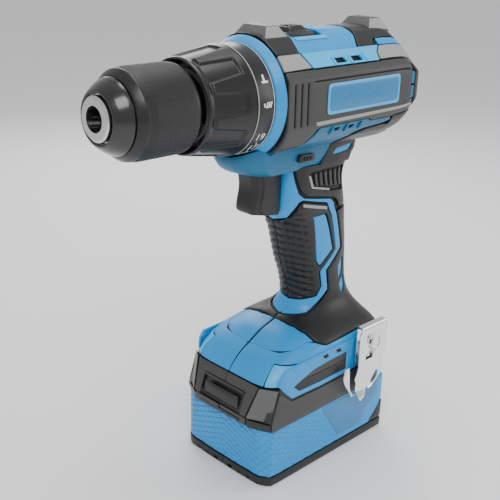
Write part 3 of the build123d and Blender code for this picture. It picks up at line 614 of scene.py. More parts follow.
def barrel_panel(shape, outline, height, far, **more):
    """A panel given by (x, girth) on the near side, or mirrored to the far side."""
    outline = np.array(outline, float)
    holes = [np.array(hole, float) for hole in more.pop("holes", [])]
    if far:
        outline[:, 1] *= -1
        holes = [hole * (1, -1) for hole in holes]
    panel(shape, BARREL_SKIN, outline, height, rows=ALL_CREASES, holes=holes, **more)


def side_outline(points):
    return [(x, girth(z)) for x, z in points]


def closed_loft(sections):
    """Rings of equal count joined into one closed body with flat end caps."""
    count = len(sections[0])
    faces = grid_faces(len(sections), count, False, True)
    faces += [tuple(range(count)), tuple(reversed(range((len(sections) - 1) * count, len(sections) * count)))]
    return np.concatenate(sections), faces


def stacked(outline, middle, levels):
    """Closed body from copies of an (x, y) outline, scaled about a point, at (height, size) levels."""
    middle = np.asarray(middle, float)
    return closed_loft([np.column_stack([(outline - middle) * size + middle, np.full(len(outline), z)])
                        for z, size in levels])


def barrel_core():
    half = rounded(CORE_HALF, 0.8, 3, closed=False)
    loop = np.concatenate([half, (half * (-1, 1))[::-1][1:-1]])
    sections = []
    for x in (5.3, 40, 80, 99.9, 108, 113, 117, 121, 123.4, 125.2):
        sy, sz = taper(x)
        sections.append(np.stack([np.full(len(loop), x), loop[:, 0] * sy, loop[:, 1] * sz], 1))
    # painted shade: the core's black shows in the gaps between the panels as dark lines
    Shape().add(*closed_loft(sections)).build(
        "barrel_core", "housing", [SHADE_BLACK], stands_for=["housing_left", "housing_right", "rear_cover"],
        slot="black_plastic")


def barrel_side(far):
    """The pieces of one side of the barrel, each made of (outline, height, panel options) plates."""
    tag = "right" if far else "left"

    def piece(name, materials, slot, *plates, stands_for=()):
        shape = Shape()
        for outline, height, more in plates:
            barrel_panel(shape, outline, height, far, **more)
        shape.build(name.format(tag), "housing", materials, slot=slot, stands_for=stands_for)

    def facet(points):
        """Points given by x and the share of the way down the sloped facet."""
        return [(x, FACET_TOP + (FACET_LOW - FACET_TOP) * t) for x, t in points]

    def box_outline(x0, x1, z0, z1):
        return side_outline([(x0, z1), (x1, z1), (x1, z0), (x0, z0)])

    # dark grey side with its flutes and groove
    low = FACET_LOW
    outline = [(6.0, low + 0.4), (27.2, low + 0.4), (30.0, low + 0.6), (84.5, low + 0.6), (88.0, low + 0.3),
               (111.0, low + 0.3)]
    outline += side_outline([(112.8, 10.0), (112.8, -9.4), (115.4, -12.2), (112.6, -16.0), (100, -16.2),
                             (97.5, -17.0), (77.4, -16.9), (76.4, -15.3), (33.0, -15.3), (30.6, -16.0), (22.8, -26.8),
                             (6.0, -27.6)])
    flutes = [side_outline([(x - 0.55, 10.4), (x + 0.55, 10.6), (x + 0.55 + 0.3, -12.6), (x - 0.55 + 0.3, -12.4)])
              for x in (10.6, 15.6, 20.6)]
    groove = side_outline([(25.4, 10.9), (25.4, 10.2), (110.6, 10.2), (110.6, 10.9)])
    piece("side_panel_{}_skin", [GREY], "grey_rubber",
          (outline, 0.0, dict(depth=-2.4, bevel=0.55, step=3.2, holes=[*flutes, groove], corner=1.2)),
          stands_for=[f"side_panel_{tag}"])
    # painted shade: a black sheet under the flutes and the groove
    piece("side_grooves_{}", [SHADE_BLACK], "grey_rubber",
          (side_outline([(7.4, 11.4), (111.6, 11.4), (111.6, -13.2), (7.4, -13.2)]), -1.0,
           dict(depth=-2.3, bevel=0.2, step=6)))
    # pale grey strip under the label: partly trim colour, partly painted highlight of a lit facet
    piece("side_strip_{}", [HIGHLIT_GREY], "grey_rubber",
          (side_outline([(27.2, -11.5), (112.8, -10.9), (115.6, -12.6), (29.0, -13.6)]), 0.32,
           dict(depth=-0.5, bevel=0.3, step=4, corner=0.8)))
    # label plate with a lighter rim
    low, high = -8.6, 8.4
    piece("label_plate_{}", [PLATE_BLUE, PLATE_RIM], "plate_blue",
          (box_outline(36.2, 100.6, low, high), 0.62,
           dict(depth=-0.4, bevel=0.35, step=4, corner=2.6, slot=1,
                holes=[box_outline(37.9, 98.9, low + 1.7, high - 1.7)])),
          (box_outline(37.6, 99.2, low + 1.4, high - 1.4), 0.34, dict(depth=-0.4, bevel=0.15, step=5, corner=1.6)),
          stands_for=[] if far else ["name_plates"])
    # pale grey facets fore and aft: painted highlight where the facet band catches the light
    pale = dict(depth=-1.8, bevel=0.4, step=3)
    piece("pale_facets_{}", [HIGHLIT_GREY], "grey_rubber",
          (facet([(6.2, 0.02), (22.6, 0.02), (27.0, 0.93), (6.2, 0.97)]), 0.05, pale),
          (facet([(91.0, 0.05), (116.4, 0.05), (119.6, 0.9), (86.6, 0.9), (87.2, 0.45)]), 0.05, pale))
    # lighter blue facet with two vents: painted highlight on the facet band
    vents = [facet([(x, 0.50), (x + 9.2, 0.50), (x + 11.2, 0.83), (x + 1.6, 0.83)]) for x in (46.5, 60.5)]
    piece("vent_facet_{}", [HIGHLIT_BLUE], "blue_plastic",
          (facet([(24.2, 0.0), (90.0, 0.0), (85.6, 0.46), (84.8, 0.96), (28.4, 0.96)]), 0.0,
           dict(depth=-1.7, bevel=0.35, step=2.6, holes=vents)))
    fin = dict(depth=-0.3, bevel=0.3, step=2, corner=0.3)
    fins = [[(x, 0.42), (x + 1.1, 0.42), (x + 2.6, 0.92), (x + 0.5, 0.92)] for x in (45.0, 58.9)]
    fins.append([(71.4, 0.42), (73.0, 0.42), (74.6, 0.92), (73.3, 0.92)])
    # painted highlight: the fins take the lighter blue
    piece("vent_fins_{}", [HIGHLIT_BLUE], "blue_plastic", *[(facet(loop), 0.75, fin) for loop in fins])
    # lower housing and its fins, in the darker blue: painted shade for the barrel's underside
    vents = [side_outline([(x, -17.4), (x + 6.6, -17.4), (x + 5.4, -19.3), (x - 1.0, -19.3)]) for x in (44.5, 57.0)]
    outline = side_outline([(33.4, -15.7), (75.9, -15.7), (77.0, -17.3), (97.4, -17.4), (97.4, -19.4),
                            (92.0, -20.6), (76.0, -21.8), (67.0, -23.8), (59.0, -28.6), (55.0, -32.6)])
    outline += [(50.0, 106.5), (8.0, 106.5)] + side_outline([(8.0, -28.0), (23.4, -27.4)])
    piece("lower_shell_{}", [SHADED_BLUE], "blue_plastic",
          (outline, -0.15, dict(depth=-2.2, bevel=0.35, step=3.0, holes=vents)))
    hoods = [side_outline([(x, -16.2), (x + 1.6, -16.2), (x + 0.9, -20.4), (x - 1.2, -20.4)])
             for x in (43.2, 55.7, 68.2)]
    piece("lower_fins_{}", [SHADED_BLUE], "blue_plastic", *[(loop, 0.9, fin) for loop in hoods])
    # black lower rear
    piece("lower_rear_{}", [BLACK], "grey_rubber",
          (side_outline([(97.6, -22.0), (92.0, -21.4), (76.0, -22.6), (67.4, -24.8), (59.8, -29.4), (55.8, -33.4),
                         (98.0, -33.4), (105.0, -29.4), (107.6, -28.6)]), 0.5,
           dict(depth=-2.0, bevel=0.6, step=2.6, corner=1.0)),
          (side_outline([(99.0, -16.8), (113.8, -16.6), (116.6, -18.4), (112.5, -25.6), (108.6, -28.0),
                         (93.2, -25.2), (98.8, -21.6)]), 0.1, dict(depth=-2.0, bevel=0.45, step=2.6)))
    # blue strip beside the saddle
    edge, inner = FACET_TOP - 0.4, girth_y(18.6) + 0.4
    piece("rear_blue_strip_{}", [BLUE], "blue_plastic",
          ([(91.6, edge), (116.6, edge), (118.4, inner), (92.6, inner)], 0.0,
           dict(depth=-1.7, bevel=0.35, step=2.6)))


def barrel_top():
    shell = Shape()
    rim = girth_y(12.9)
    edge = FACET_TOP - 0.3
    recess = [(27.4, -rim), (52.6, -rim), (53.6, 0), (52.6, rim), (27.4, rim)]
    front, back = 23.4, 78.4
    outline = [(front + 3.2, -girth_y(13)), (front, -edge), (71.2, -edge), (76.6, -girth_y(16)), (back, -4),
               (back, 4), (76.6, girth_y(16)), (71.2, edge), (front, edge), (front + 3.2, girth_y(13))]
    barrel_panel(shell, outline, -0.15, False, depth=-1.7, bevel=0.4, step=2.6, holes=[recess])
    for side in (-1, 1):
        # painted highlight: these raised strips take the lighter blue (slot 1)
        loop = [(27.9, side * (rim + 1.2)), (53.4, side * (rim + 1.2)), (54.6, side * (rim + 3.6)),
                (28.9, side * (rim + 3.6))]
        barrel_panel(shell, loop, 0.5, False, depth=-0.6, bevel=0.35, step=2.6, slot=1)
        loop = [(54.0, side * 2.0), (61.0, side * 2.0), (61.0, side * 9.0), (54.0, side * 9.0)]
        barrel_panel(shell, loop, 0.3, False, depth=-0.6, bevel=0.5, step=2.6)
    shell.build("top_shell", "housing", [BLUE, HIGHLIT_BLUE], slot="blue_plastic")
    band = Shape()
    barrel_panel(band, [(6.0, -edge), (22.7, -edge), (26.4, -girth_y(13)), (26.4, girth_y(13)), (22.7, edge),
                        (6.0, edge)], 0.0, False, depth=-1.8, bevel=0.5, step=2.6)
    bumper_block(band, 7.4, 25.6, 4.6, 12.8, 8.8)
    band.build("front_bumper_skin", "housing", [BLACK, HALF_LIT_GREY, HIGHLIT_GREY], stands_for=["front_bumper"],
               slot="black_plastic")
    saddle = Shape()
    half = [(79.2, 0), (79.0, girth_y(10)), (77.4, girth_y(16)), (72.0, FACET_TOP + 0.3), (85.4, FACET_TOP + 0.3),
            (91.0, girth_y(18.6)), (116.8, girth_y(17.2)), (119.0, girth_y(10)), (119.4, 0)]
    loop = half + [(x, -v) for x, v in half[-2:0:-1]]
    barrel_panel(saddle, loop, 0.1, False, depth=-1.8, bevel=0.5, step=2.6)
    bumper_block(saddle, 95.2, 114.0, 4.6, 12.2, 8.4)
    saddle.build("rear_bumper_skin", "housing", [BLACK, HALF_LIT_GREY, HIGHLIT_GREY], stands_for=["rear_bumper"],
                 slot="black_plastic")


def bumper_block(shape, x0, x1, slope, base_half, top_half):
    """A raised guard with a black top and four sloped faces; faces and top are separate plates. The end faces are mid
    grey and the side faces pale grey, painted highlight that depends on which way each face turns.
    """
    low, high = 31.0, 37.75
    corners = {"low": [(x0, -base_half), (x1, -base_half), (x1, base_half), (x0, base_half)],
               "high": [(x0 + slope, -top_half), (x1 - slope, -top_half), (x1 - slope, top_half),
                        (x0 + slope, top_half)]}
    core = [np.array([(x, y, low - 1.4) for x, y in corners["low"]]),
            np.array([(x, y, low) for x, y in inset(np.array(corners["low"], float), 0.25)]),
            np.array([(x, y, high - 0.2) for x, y in inset(np.array(corners["high"], float), 0.25)])]
    shape.add(*closed_loft(core))
    lows = [np.array([x, y, low]) for x, y in corners["low"]]
    highs = [np.array([x, y, high]) for x, y in corners["high"]]
    for k in range(4):
        a, b, c, d = lows[k], lows[(k + 1) % 4], highs[(k + 1) % 4], highs[k]
        # painted highlight: end faces mid grey, side faces pale grey
        flat_plate(shape, [a, b, c, d], 0.22, slot=1 if k in (1, 3) else 2)
    flat_plate(shape, highs, 0.22)


def flat_plate(shape, corners, height, slot=0, gap=0.16, bevel=0.28, step=3.0, corner=0.4):
    """A thin plate with rolled edges on a flat four-cornered face, corners anticlockwise from outside."""
    corners = [np.asarray(c, float) for c in corners]
    origin = sum(corners) / len(corners)
    n = np.cross(corners[1] - corners[0], corners[-1] - corners[0])
    n /= np.linalg.norm(n)
    e1 = corners[1] - corners[0]
    e1 -= n * (e1 @ n)
    e1 /= np.linalg.norm(e1)
    e2 = np.cross(n, e1)
    flat = np.array([((c - origin) @ e1, (c - origin) @ e2) for c in corners])

    def at(u, v, h=0.0):
        u, v = np.asarray(u, float), np.asarray(v, float)
        return origin + u[:, None] * e1 + v[:, None] * e2 + n * np.reshape(np.broadcast_to(h, u.shape), (-1, 1))

    if area_of(flat) < 0:
        flat = flat[::-1]
    panel(shape, at, inset(flat, gap), height - 0.2, depth=-0.45, bevel=bevel, step=step, corner=corner, slot=slot)


def barrel_rear():
    """The rounded rear end: a cap with slots, and blue bars between them on both sides. The bars are the darker blue,
    painted shade for their recess.
    """
    bars = Shape()
    for side in (-1, 1):
        for x, z0, z1 in ((118.6, 23.4, 18.0), (113.6, 9.6, 1.0), (113.6, -0.4, -9.0), (113.4, -17.6, -21.6)):
            loop = [(x, side * girth(z0)), (x + 3.8, side * girth(z0)), (x + 3.8, side * girth(z1)),
                    (x, side * girth(z1))]
            panel(bars, BARREL_SKIN, loop, -0.55, depth=-1.9, bevel=0.3, step=2.0, corner=0.4)
    bars.build("rear_vent_bars", "housing", [SHADED_BLUE], slot="blue_plastic")
    rim = Shape()
    reach = girth(-17.0)
    loop = [(118.0, -reach), (118.0, -girth(12)), (122.9, -FACET_TOP), (122.9, FACET_TOP), (118.0, girth(12)),
            (118.0, reach), (125.6, reach), (125.6, -reach)]
    panel(rim, BARREL_SKIN, loop, 0.0, depth=-1.8, bevel=0.4, step=2.2, corner=0.5)
    rim.build("rear_rim", "housing", [GREY], slot="grey_rubber")
    cap = Shape()
    half = rounded(BARREL_HALF, 1.6, 4, closed=False) * (0.80, 0.35)
    loop = np.concatenate([half, (half * (-1, 1))[::-1][1:-1]])
    sections = []
    for x, size in ((124.6, 1.0), (126.2, 1.0), (126.75, 0.97), (126.95, 0.90)):
        sections.append(np.stack([np.full(len(loop), x), loop[:, 0] * size, loop[:, 1] * size], 1))
    cap.add(*closed_loft(sections))
    cap.build("rear_cap", "housing", [GREY], slot="grey_rubber")


def selector():
    # painted shade: a black slab in the recess under the knob
    recess = Shape()
    recess.add(*closed_loft([np.array([(27.0, -13.4, z), (54.2, -13.4, z), (54.2, 13.4, z), (27.0, 13.4, z)])
                             for z in (28.6, 29.4)]))
    recess.build("selector_recess", "housing", [SHADE_BLACK], slot="black_plastic")
    knob = Shape()
    outline = rounded([(28.4, -8.2), (50.4, -9.2), (50.4, 9.2), (28.4, 8.2)], 1.5, 4)
    knob.add(*stacked(outline, (39.4, 0.0), ((30.2, 1.0), (32.0, 1.0), (32.9, 0.97), (33.2, 0.92))))
    grip = rounded([(33.0, -6.4), (46.5, -7.0), (48.0, 0), (46.5, 7.0), (33.0, 6.4)], 1.6, 4)
    knob.add(*stacked(grip, (40.5, 0.0), ((33.0, 1.0), (34.6, 0.93), (35.6, 0.80), (35.9, 0.70))))
    for k in range(4):
        x = 36.4 + 2.4 * k
        rib = [(x, -4.6), (x + 0.9, -4.6), (x + 0.9, 4.6), (x, 4.6)]
        knob.add(*closed_loft([np.column_stack([np.array(rib), np.full(4, z)]) for z in (35.4, 36.35)]))
    knob.build("speed_selector", "gear_selector", [BLACK], stands_for=["gear_selector"], slot="black_plastic")


# ---------------------------------------------------------------- handle column and foot hood
# height, front, back, half width, squareness of the section
STATIONS = np.array([
    (-34.0, 28.0, 93.0, 17.6, 5.0), (-38.0, 28.0, 85.0, 18.0, 5.0), (-42.0, 28.0, 80.0, 18.1, 5.0),
    (-47.0, 28.0, 77.8, 18.1, 4.6), (-52.0, 28.0, 77.6, 18.1, 4.2), (-58.0, 28.0, 79.0, 18.0, 3.8),
    (-65.0, 28.0, 82.0, 17.6, 3.5), (-69.5, 27.6, 84.2, 17.2, 3.2), (-72.5, 28.2, 85.6, 16.9, 3.0),
    (-75.5, 32.0, 86.8, 16.7, 2.8), (-85.0, 35.2, 88.8, 16.5, 2.5), (-95.0, 37.4, 90.6, 16.3, 2.4),
    (-105.0, 40.4, 91.6, 16.0, 2.4), (-115.0, 44.9, 91.8, 15.8, 2.4), (-125.0, 47.8, 92.8, 16.2, 2.4),
    (-131.0, 48.0, 94.4, 17.0, 2.45), (-135.0, 46.6, 96.2, 18.4, 2.5), (-139.0, 41.6, 98.4, 21.4, 2.55),
    (-142.5, 34.0, 101.0, 25.4, 2.6), (-145.6, 23.8, 103.2, 29.8, 2.8), (-148.5, 18.4, 104.8, 33.6, 3.2),
    (-151.3, 13.6, 105.8, 35.8, 4.0), (-154.2, 7.6, 106.3, 36.6, 5.0), (-158.0, 3.0, 106.4, 36.9, 5.6),
    (-161.5, -0.6, 106.4, 37.0, 6.2), (-166.5, -3.1, 106.4, 37.0, 6.6)], float)
STATION_STEPS = np.hypot(np.diff(STATIONS[:, 0]), 0.75 * np.diff(STATIONS[:, 1]))
RUN = np.concatenate([[0], np.cumsum(STATION_STEPS)])
FINE = np.arange(0, RUN[-1], 1.0)
COLUMN_POINTS = 480


def smooth(values):
    """Softens the corners between stations."""
    padded = np.concatenate([values[:1].repeat(2), values, values[-1:].repeat(2)])
    return np.convolve(padded, [0.1, 0.2, 0.4, 0.2, 0.1], "valid")


def column_table():
    columns = [smooth(np.interp(FINE, RUN, STATIONS[:, k])) for k in range(5)]
    table = np.zeros((len(FINE), COLUMN_POINTS + 1, 3))
    t = np.linspace(0, math.pi, 1200)
    for row, (z, front, back, half, n) in enumerate(zip(*columns)):
        middle, reach = (front + back) / 2, (back - front) / 2
        cos, sin = np.cos(t), np.sin(t)
        x = middle - reach * np.sign(cos) * np.abs(cos) ** (2 / n)
        y = -half * np.abs(sin) ** (2 / n)
        length = np.concatenate([[0], np.cumsum(np.hypot(np.diff(x), np.diff(y)))])
        want = np.linspace(0, length[-1], COLUMN_POINTS // 2 + 1)
        x, y = np.interp(want, length, x), np.interp(want, length, y)
        table[row, :, 0] = np.concatenate([x, x[-2::-1]])
        table[row, :, 1] = np.concatenate([y, -y[-2::-1]])
        table[row, :, 2] = z
    return table


COLUMN = column_table()
ROUND = 110.0      # nominal girth: v runs 0 (front centre), 55 (back centre), 110


def column_surface(u, v):
    row = np.clip(u, 0, len(FINE) - 1.001)
    column = (v % ROUND) / ROUND * COLUMN_POINTS
    i, j = row.astype(int), column.astype(int)
    fi, fj = (row - i)[:, None], (column - j)[:, None]
    i1, j1 = i + 1, np.minimum(j + 1, COLUMN_POINTS)
    return ((1 - fi) * ((1 - fj) * COLUMN[i, j] + fj * COLUMN[i, j1])
            + fi * ((1 - fj) * COLUMN[i1, j] + fj * COLUMN[i1, j1]))


COLUMN_SKIN = soft_skin(column_surface, 1.2, -1)
COLUMN_Z = COLUMN[:, 0, 2]


def run_at(z):
    return float(np.interp(-z, -COLUMN_Z, np.arange(len(COLUMN_Z))))


def spot(x, z):
    """Skin position of the near-side point at x and height z."""
    u = run_at(z)
    row = COLUMN[int(round(u)), :COLUMN_POINTS // 2 + 1, 0]
    return u, float(np.interp(x, row, np.arange(len(row)) / COLUMN_POINTS * ROUND))


def front_spot(y, z):
    """Skin position of the near-side point on the front half at half width y and height z."""
    u = run_at(z)
    row = -COLUMN[int(round(u)), :COLUMN_POINTS // 2 + 1, 1]
    widest = int(np.argmax(row > y)) if (row > y).any() else int(np.argmax(row))
    part = row[:widest + 1]
    return ("uv", u, float(np.interp(y, part, np.arange(len(part)) / COLUMN_POINTS * ROUND)))


def top_spot(x, y):
    """Skin position of the near-side point of the foot's flare that lies at x and half width y in plan."""
    rows = np.flatnonzero((COLUMN_Z < -139.0) & (COLUMN_Z > -166.0))
    near = COLUMN[rows, :COLUMN_POINTS // 2 + 1]
    off = (near[..., 0] - x) ** 2 + (near[..., 1] + y) ** 2
    i, j = np.unravel_index(int(np.argmin(off)), off.shape)
    return "uv", float(rows[i]), j / COLUMN_POINTS * ROUND


def column_panel(shape, outline, height, far=False, holes=(), **more):
    loops = []
    for points in [outline, *holes]:
        loop = []
        for point in points:
            if point[0] == "uv":
                u, v = point[1:]
            elif isinstance(point[0], tuple):
                u, v = run_at(point[1]), point[0][0]
            else:
                u, v = spot(*point)
            loop.append((u, -v if far else v))
        loops.append(np.array(loop))
    panel(shape, COLUMN_SKIN, loops[0], height, holes=loops[1:], **more)


def v_at(v, z):
    """A column point given by its girth position and height."""
    return (v,), z


def column_core():
    sections = []
    for u in np.arange(0, len(FINE) - 1, 2.0):
        v = np.arange(0, ROUND, ROUND / 160)
        ring = column_surface(np.full(len(v), u), v)
        middle = (ring.min(0) + ring.max(0)) / 2
        reach = (ring.max(0) - ring.min(0)) / 2
        off = ring - middle
        sections.append(middle + off * (1 - 1.25 / np.maximum(reach, 9)) * (1, 1, 0) + off * (0, 0, 1))
    # painted shade: the core's black shows in the gaps between the handle's panels
    Shape().add(*closed_loft(sections)).build("column_core", "housing", [SHADE_BLACK], slot="black_plastic")


def column_piece(name, materials, slot, *plates, stands_for=()):
    """One object from (outline, height, panel options) plates, made on the near and the far side."""
    shape = Shape()
    for far in (False, True):
        for outline, height, more in plates:
            column_panel(shape, outline, height, far, **more)
    shape.build(name, "housing", materials, slot=slot, stands_for=stands_for)


def column_covers():
    # blue neck shell and the stripe that runs down to the ring
    blue = [v_at(0.0, -42.6), (29.0, -40.0), (30.6, -40.4), (31.4, -47.0), (35.4, -57.6), (39.6, -60.6),
            (63.2, -65.2), (66.6, -68.2), (78.4, -99.8), (64.8, -112.4), (66.6, -125.4), (55.0, -134.0),
            (49.0, -137.0), v_at(0.0, -139.4), v_at(0.0, -131.6), (50.6, -130.2), (58.0, -128.4), (61.6, -122.6),
            (59.4, -112.2), (73.0, -100.2), (62.6, -70.8), (60.4, -67.0), (38.6, -61.6), (36.2, -62.6),
            (32.6, -68.4), (31.4, -72.0), (30.5, -74.4), v_at(0.0, -76.4)]
    column_piece("handle_blue", [BLUE], "blue_plastic",
                 (blue, 0.0, dict(depth=-1.5, bevel=0.4, step=2.2, edge_step=2.0, corner=1.2)))
    # upper rear grip with its ribbed pad
    pad = [(40.6, -45.4), (67.0, -45.0), (73.6, -45.0), (74.6, -61.0), (60.0, -59.2), (43.8, -55.4)]
    upper = [(50.0, -41.6), v_at(55.0, -41.6), v_at(55.0, -72.5), (76.5, -72.0), (73.6, -72.6), (69.4, -67.0),
             (65.0, -64.0), (41.0, -59.0), (36.8, -56.0), (32.6, -46.4), (31.8, -41.8), (33.4, -41.0)]
    column_piece("grip_upper", [RUBBER], "black_rubber",
                 (upper, 0.55, dict(depth=-1.4, bevel=0.6, step=2.2, edge_step=1.6, corner=1.2, holes=[pad])),
                 stands_for=["rear_grip"])
    # painted shade: the pad's sunken floor between the ribs is black (slot 1)
    floor = [(40.8, -45.6), (73.4, -45.2), (74.4, -60.8), (60.0, -59.0), (44.0, -55.2)]
    ribs = [[(x, -46.4), (x + 2.3, -46.4), (x + 4.0, -54.6 - 0.6 * k), (x + 1.7, -54.0 - 0.6 * k)]
            for k, x in enumerate(45.8 + 4.3 * k for k in range(6))]
    # painted highlight: the rim along the pad is pale grey (slot 2)
    rim = [(40.9, -46.2), (42.9, -47.6), (45.6, -54.2), (60.0, -57.6), (60.0, -58.9), (44.2, -55.2)]
    column_piece("grip_rib_pad", [GREY, SHADE_BLACK, HIGHLIT_GREY], "grey_rubber",
                 (floor, -0.7, dict(depth=-1.4, bevel=0.2, step=2.2, slot=1)),
                 *[(rib, 0.75, dict(depth=-1.2, bevel=0.5, step=1.6, corner=0.3)) for rib in ribs],
                 (rim, 0.75, dict(depth=-1.2, bevel=0.3, step=1.2, corner=0.3, slot=2)))
    # rear grip: spine, flare, windows
    windows = [[(76.4, -112.6), (81.8, -105.6), (82.4, -115.6), (77.6, -123.6)],
               [(82.6, -118.4), (84.6, -127.6), (80.4, -132.6), (78.2, -125.4)]]
    spine = [(79.6, -73.4), v_at(55.0, -73.6), v_at(55.0, -165.8), (101.0, -165.8), (99.5, -152.2),
             (76.0, -149.4), (46.0, -150.4), top_spot(40.8, 32.0), top_spot(38.8, 24.0), top_spot(37.8, 16.0),
             top_spot(37.3, 8.0), v_at(0.0, -142.0), v_at(0.0, -140.0), (48.6, -138.0), (56.6, -134.6),
             (67.6, -126.2), (65.8, -112.8), (79.6, -100.0), (70.6, -74.6)]
    column_piece("grip_rear", [RUBBER], "black_rubber",
                 (spine, 0.5, dict(depth=-1.4, bevel=0.7, step=2.4, edge_step=2.0, corner=1.4, holes=windows)))
    column_piece("grip_windows", [BLUE], "blue_plastic",
                 *[(loop, -0.3, dict(depth=-1.4, bevel=0.2, step=2.0, corner=0.5)) for loop in windows])


def ridges(u, v):
    """Height of the front grip's cross ridges."""
    z = np.interp(u, np.arange(len(COLUMN_Z)), COLUMN_Z)
    near = np.abs((v + ROUND / 2) % ROUND - ROUND / 2)
    wave = np.abs(((z + 0.22 * near) / 4.6) % 1.0 - 0.5) * 2
    groove = np.clip((0.42 - wave) / 0.42, 0, 1)
    fade = np.clip((17.0 - near) / 2.5, 0, 1)
    return -0.95 * groove * fade


def front_grip():
    hole = [(48.2, -73.6), (59.4, -73.4), (69.6, -99.0), (58.4, -108.6), (55.2, -104.8)]
    cover = [v_at(0.12, -76.0), (31.6, -75.4), (33.6, -71.0), (38.4, -62.8), (59.8, -68.2), (61.8, -71.8),
             (71.8, -100.0), (58.0, -111.8), (60.4, -122.6), (57.0, -127.6), (50.4, -129.2), v_at(0.12, -130.6)]
    column_piece("grip_front", [RUBBER], "black_rubber",
                 (cover, 0.6, dict(depth=-1.4, bevel=0.7, step=0.95, edge_step=1.0, corner=1.2, holes=[hole],
                                   profile=ridges)), stands_for=["front_grip"])
    stripe = [(48.6, -74.2), (59.0, -74.0), (69.0, -98.8), (58.4, -107.8), (55.6, -104.6)]
    column_piece("grip_inset_stripe", [BLUE], "blue_plastic",
                 (stripe, 0.1, dict(depth=-1.4, bevel=0.3, step=2.0, corner=0.5)))
    # painted highlight: a pale grey edge along the grip
    column_piece("grip_highlight_edge", [HIGHLIT_GREY], "grey_rubber",
                 ([(38.6, -63.6), (59.4, -69.0), (59.6, -70.9), (39.0, -65.6)], 1.0,
                  dict(depth=0.0, bevel=0.35, step=1.2, corner=0.3)))


def foot_cover():
    """Blue hood at the front of the foot with the arc, the seam and the crease to the side."""
    arc = [(13.8, 0.5), (14.4, 4.0), (14.7, 8.5), (15.4, 16.0), (17.8, 23.0), (23.3, 27.2), (35.0, 28.6)]
    edge = [(38.8, 31.0), (37.8, 24.0), (36.8, 16.0), (36.3, 8.0), (36.0, 0.6)]

    fine = dict(depth=-1.5, bevel=0.3, step=1.4, edge_step=1.4, corner=0.5)
    lower = [top_spot(x - 0.4, y + 0.2) for x, y in arc] + [top_spot(39.6, 32.0)]
    lower += [(46.0, -150.9), (76.0, -149.9), (76.0, -154.0), (30.0, -156.0), (9.0, -156.6),
              front_spot(35.4, -154.6), front_spot(25.6, -154.2), front_spot(27.8, -165.2), v_at(0.06, -165.2)]
    # painted highlight: this facet of the hood takes the lighter blue (slot 1)
    facet = [front_spot(26.2, -154.6), front_spot(35.2, -155.2), front_spot(36.6, -165.2), front_spot(28.4, -165.2)]
    column_piece("foot_hood", [BLUE, HIGHLIT_BLUE], "blue_plastic",
                 ([top_spot(*point) for point in arc + edge], 0.1, fine), (lower, 0.0, fine),
                 (facet, 0.05, dict(depth=-1.5, bevel=0.3, step=1.2, edge_step=1.2, corner=0.4, slot=1)))


# ---------------------------------------------------------------- upright walls of the foot and battery
def wall_skin(plan):
    """Skin of upright walls over a closed plan: u is the height, v the distance from the front
    centre towards -y. The plan gives (x, y) of the near half from front centre to back centre."""
    half = rounded([(x, -y) for x, y in plan], [0] + [2.0] * (len(plan) - 2) + [0], 5, closed=False)
    length = along(half)
    total = 2 * length[-1]
    line = np.concatenate([half, (half * (1, -1))[::-1][1:]])
    reach = along(line)

    def surface(u, v):
        v = v % total
        return np.stack([np.interp(v, reach, line[:, 0]), np.interp(v, reach, line[:, 1]), u], 1)

    def at_x(x):
        return float(np.interp(x, half[:, 0], length))

    def at_y(y):
        return float(np.interp(y, -half[:, 1], length))

    return soft_skin(surface, 0.3), at_x, at_y, total


FOOT_PLAN = [(-3.2, 0), (-3.1, 27.2), (3.4, 35.0), (6.0, 37.05), (100, 37.05), (106.2, 30), (106.2, 0)]
CASE_PLAN = [(-6.0, 0), (-6.0, 12.5), (-5.4, 30.2), (-1.6, 36.7), (6, 37.0), (105, 37.0), (108.2, 32), (108.2, 0)]
BASE_PLAN = [(-6.2, 0), (-6.2, 12.5), (-5.6, 30.4), (-1.6, 36.9), (6, 37.25), (105, 37.25), (108.5, 32), (108.5, 0)]


def full_plan(plan):
    """The whole anticlockwise plan from its near half."""
    plan = np.array([(x, -y) for x, y in plan] + [(x, y) for x, y in plan[-2:0:-1]])
    return plan if area_of(plan) > 0 else plan[::-1]


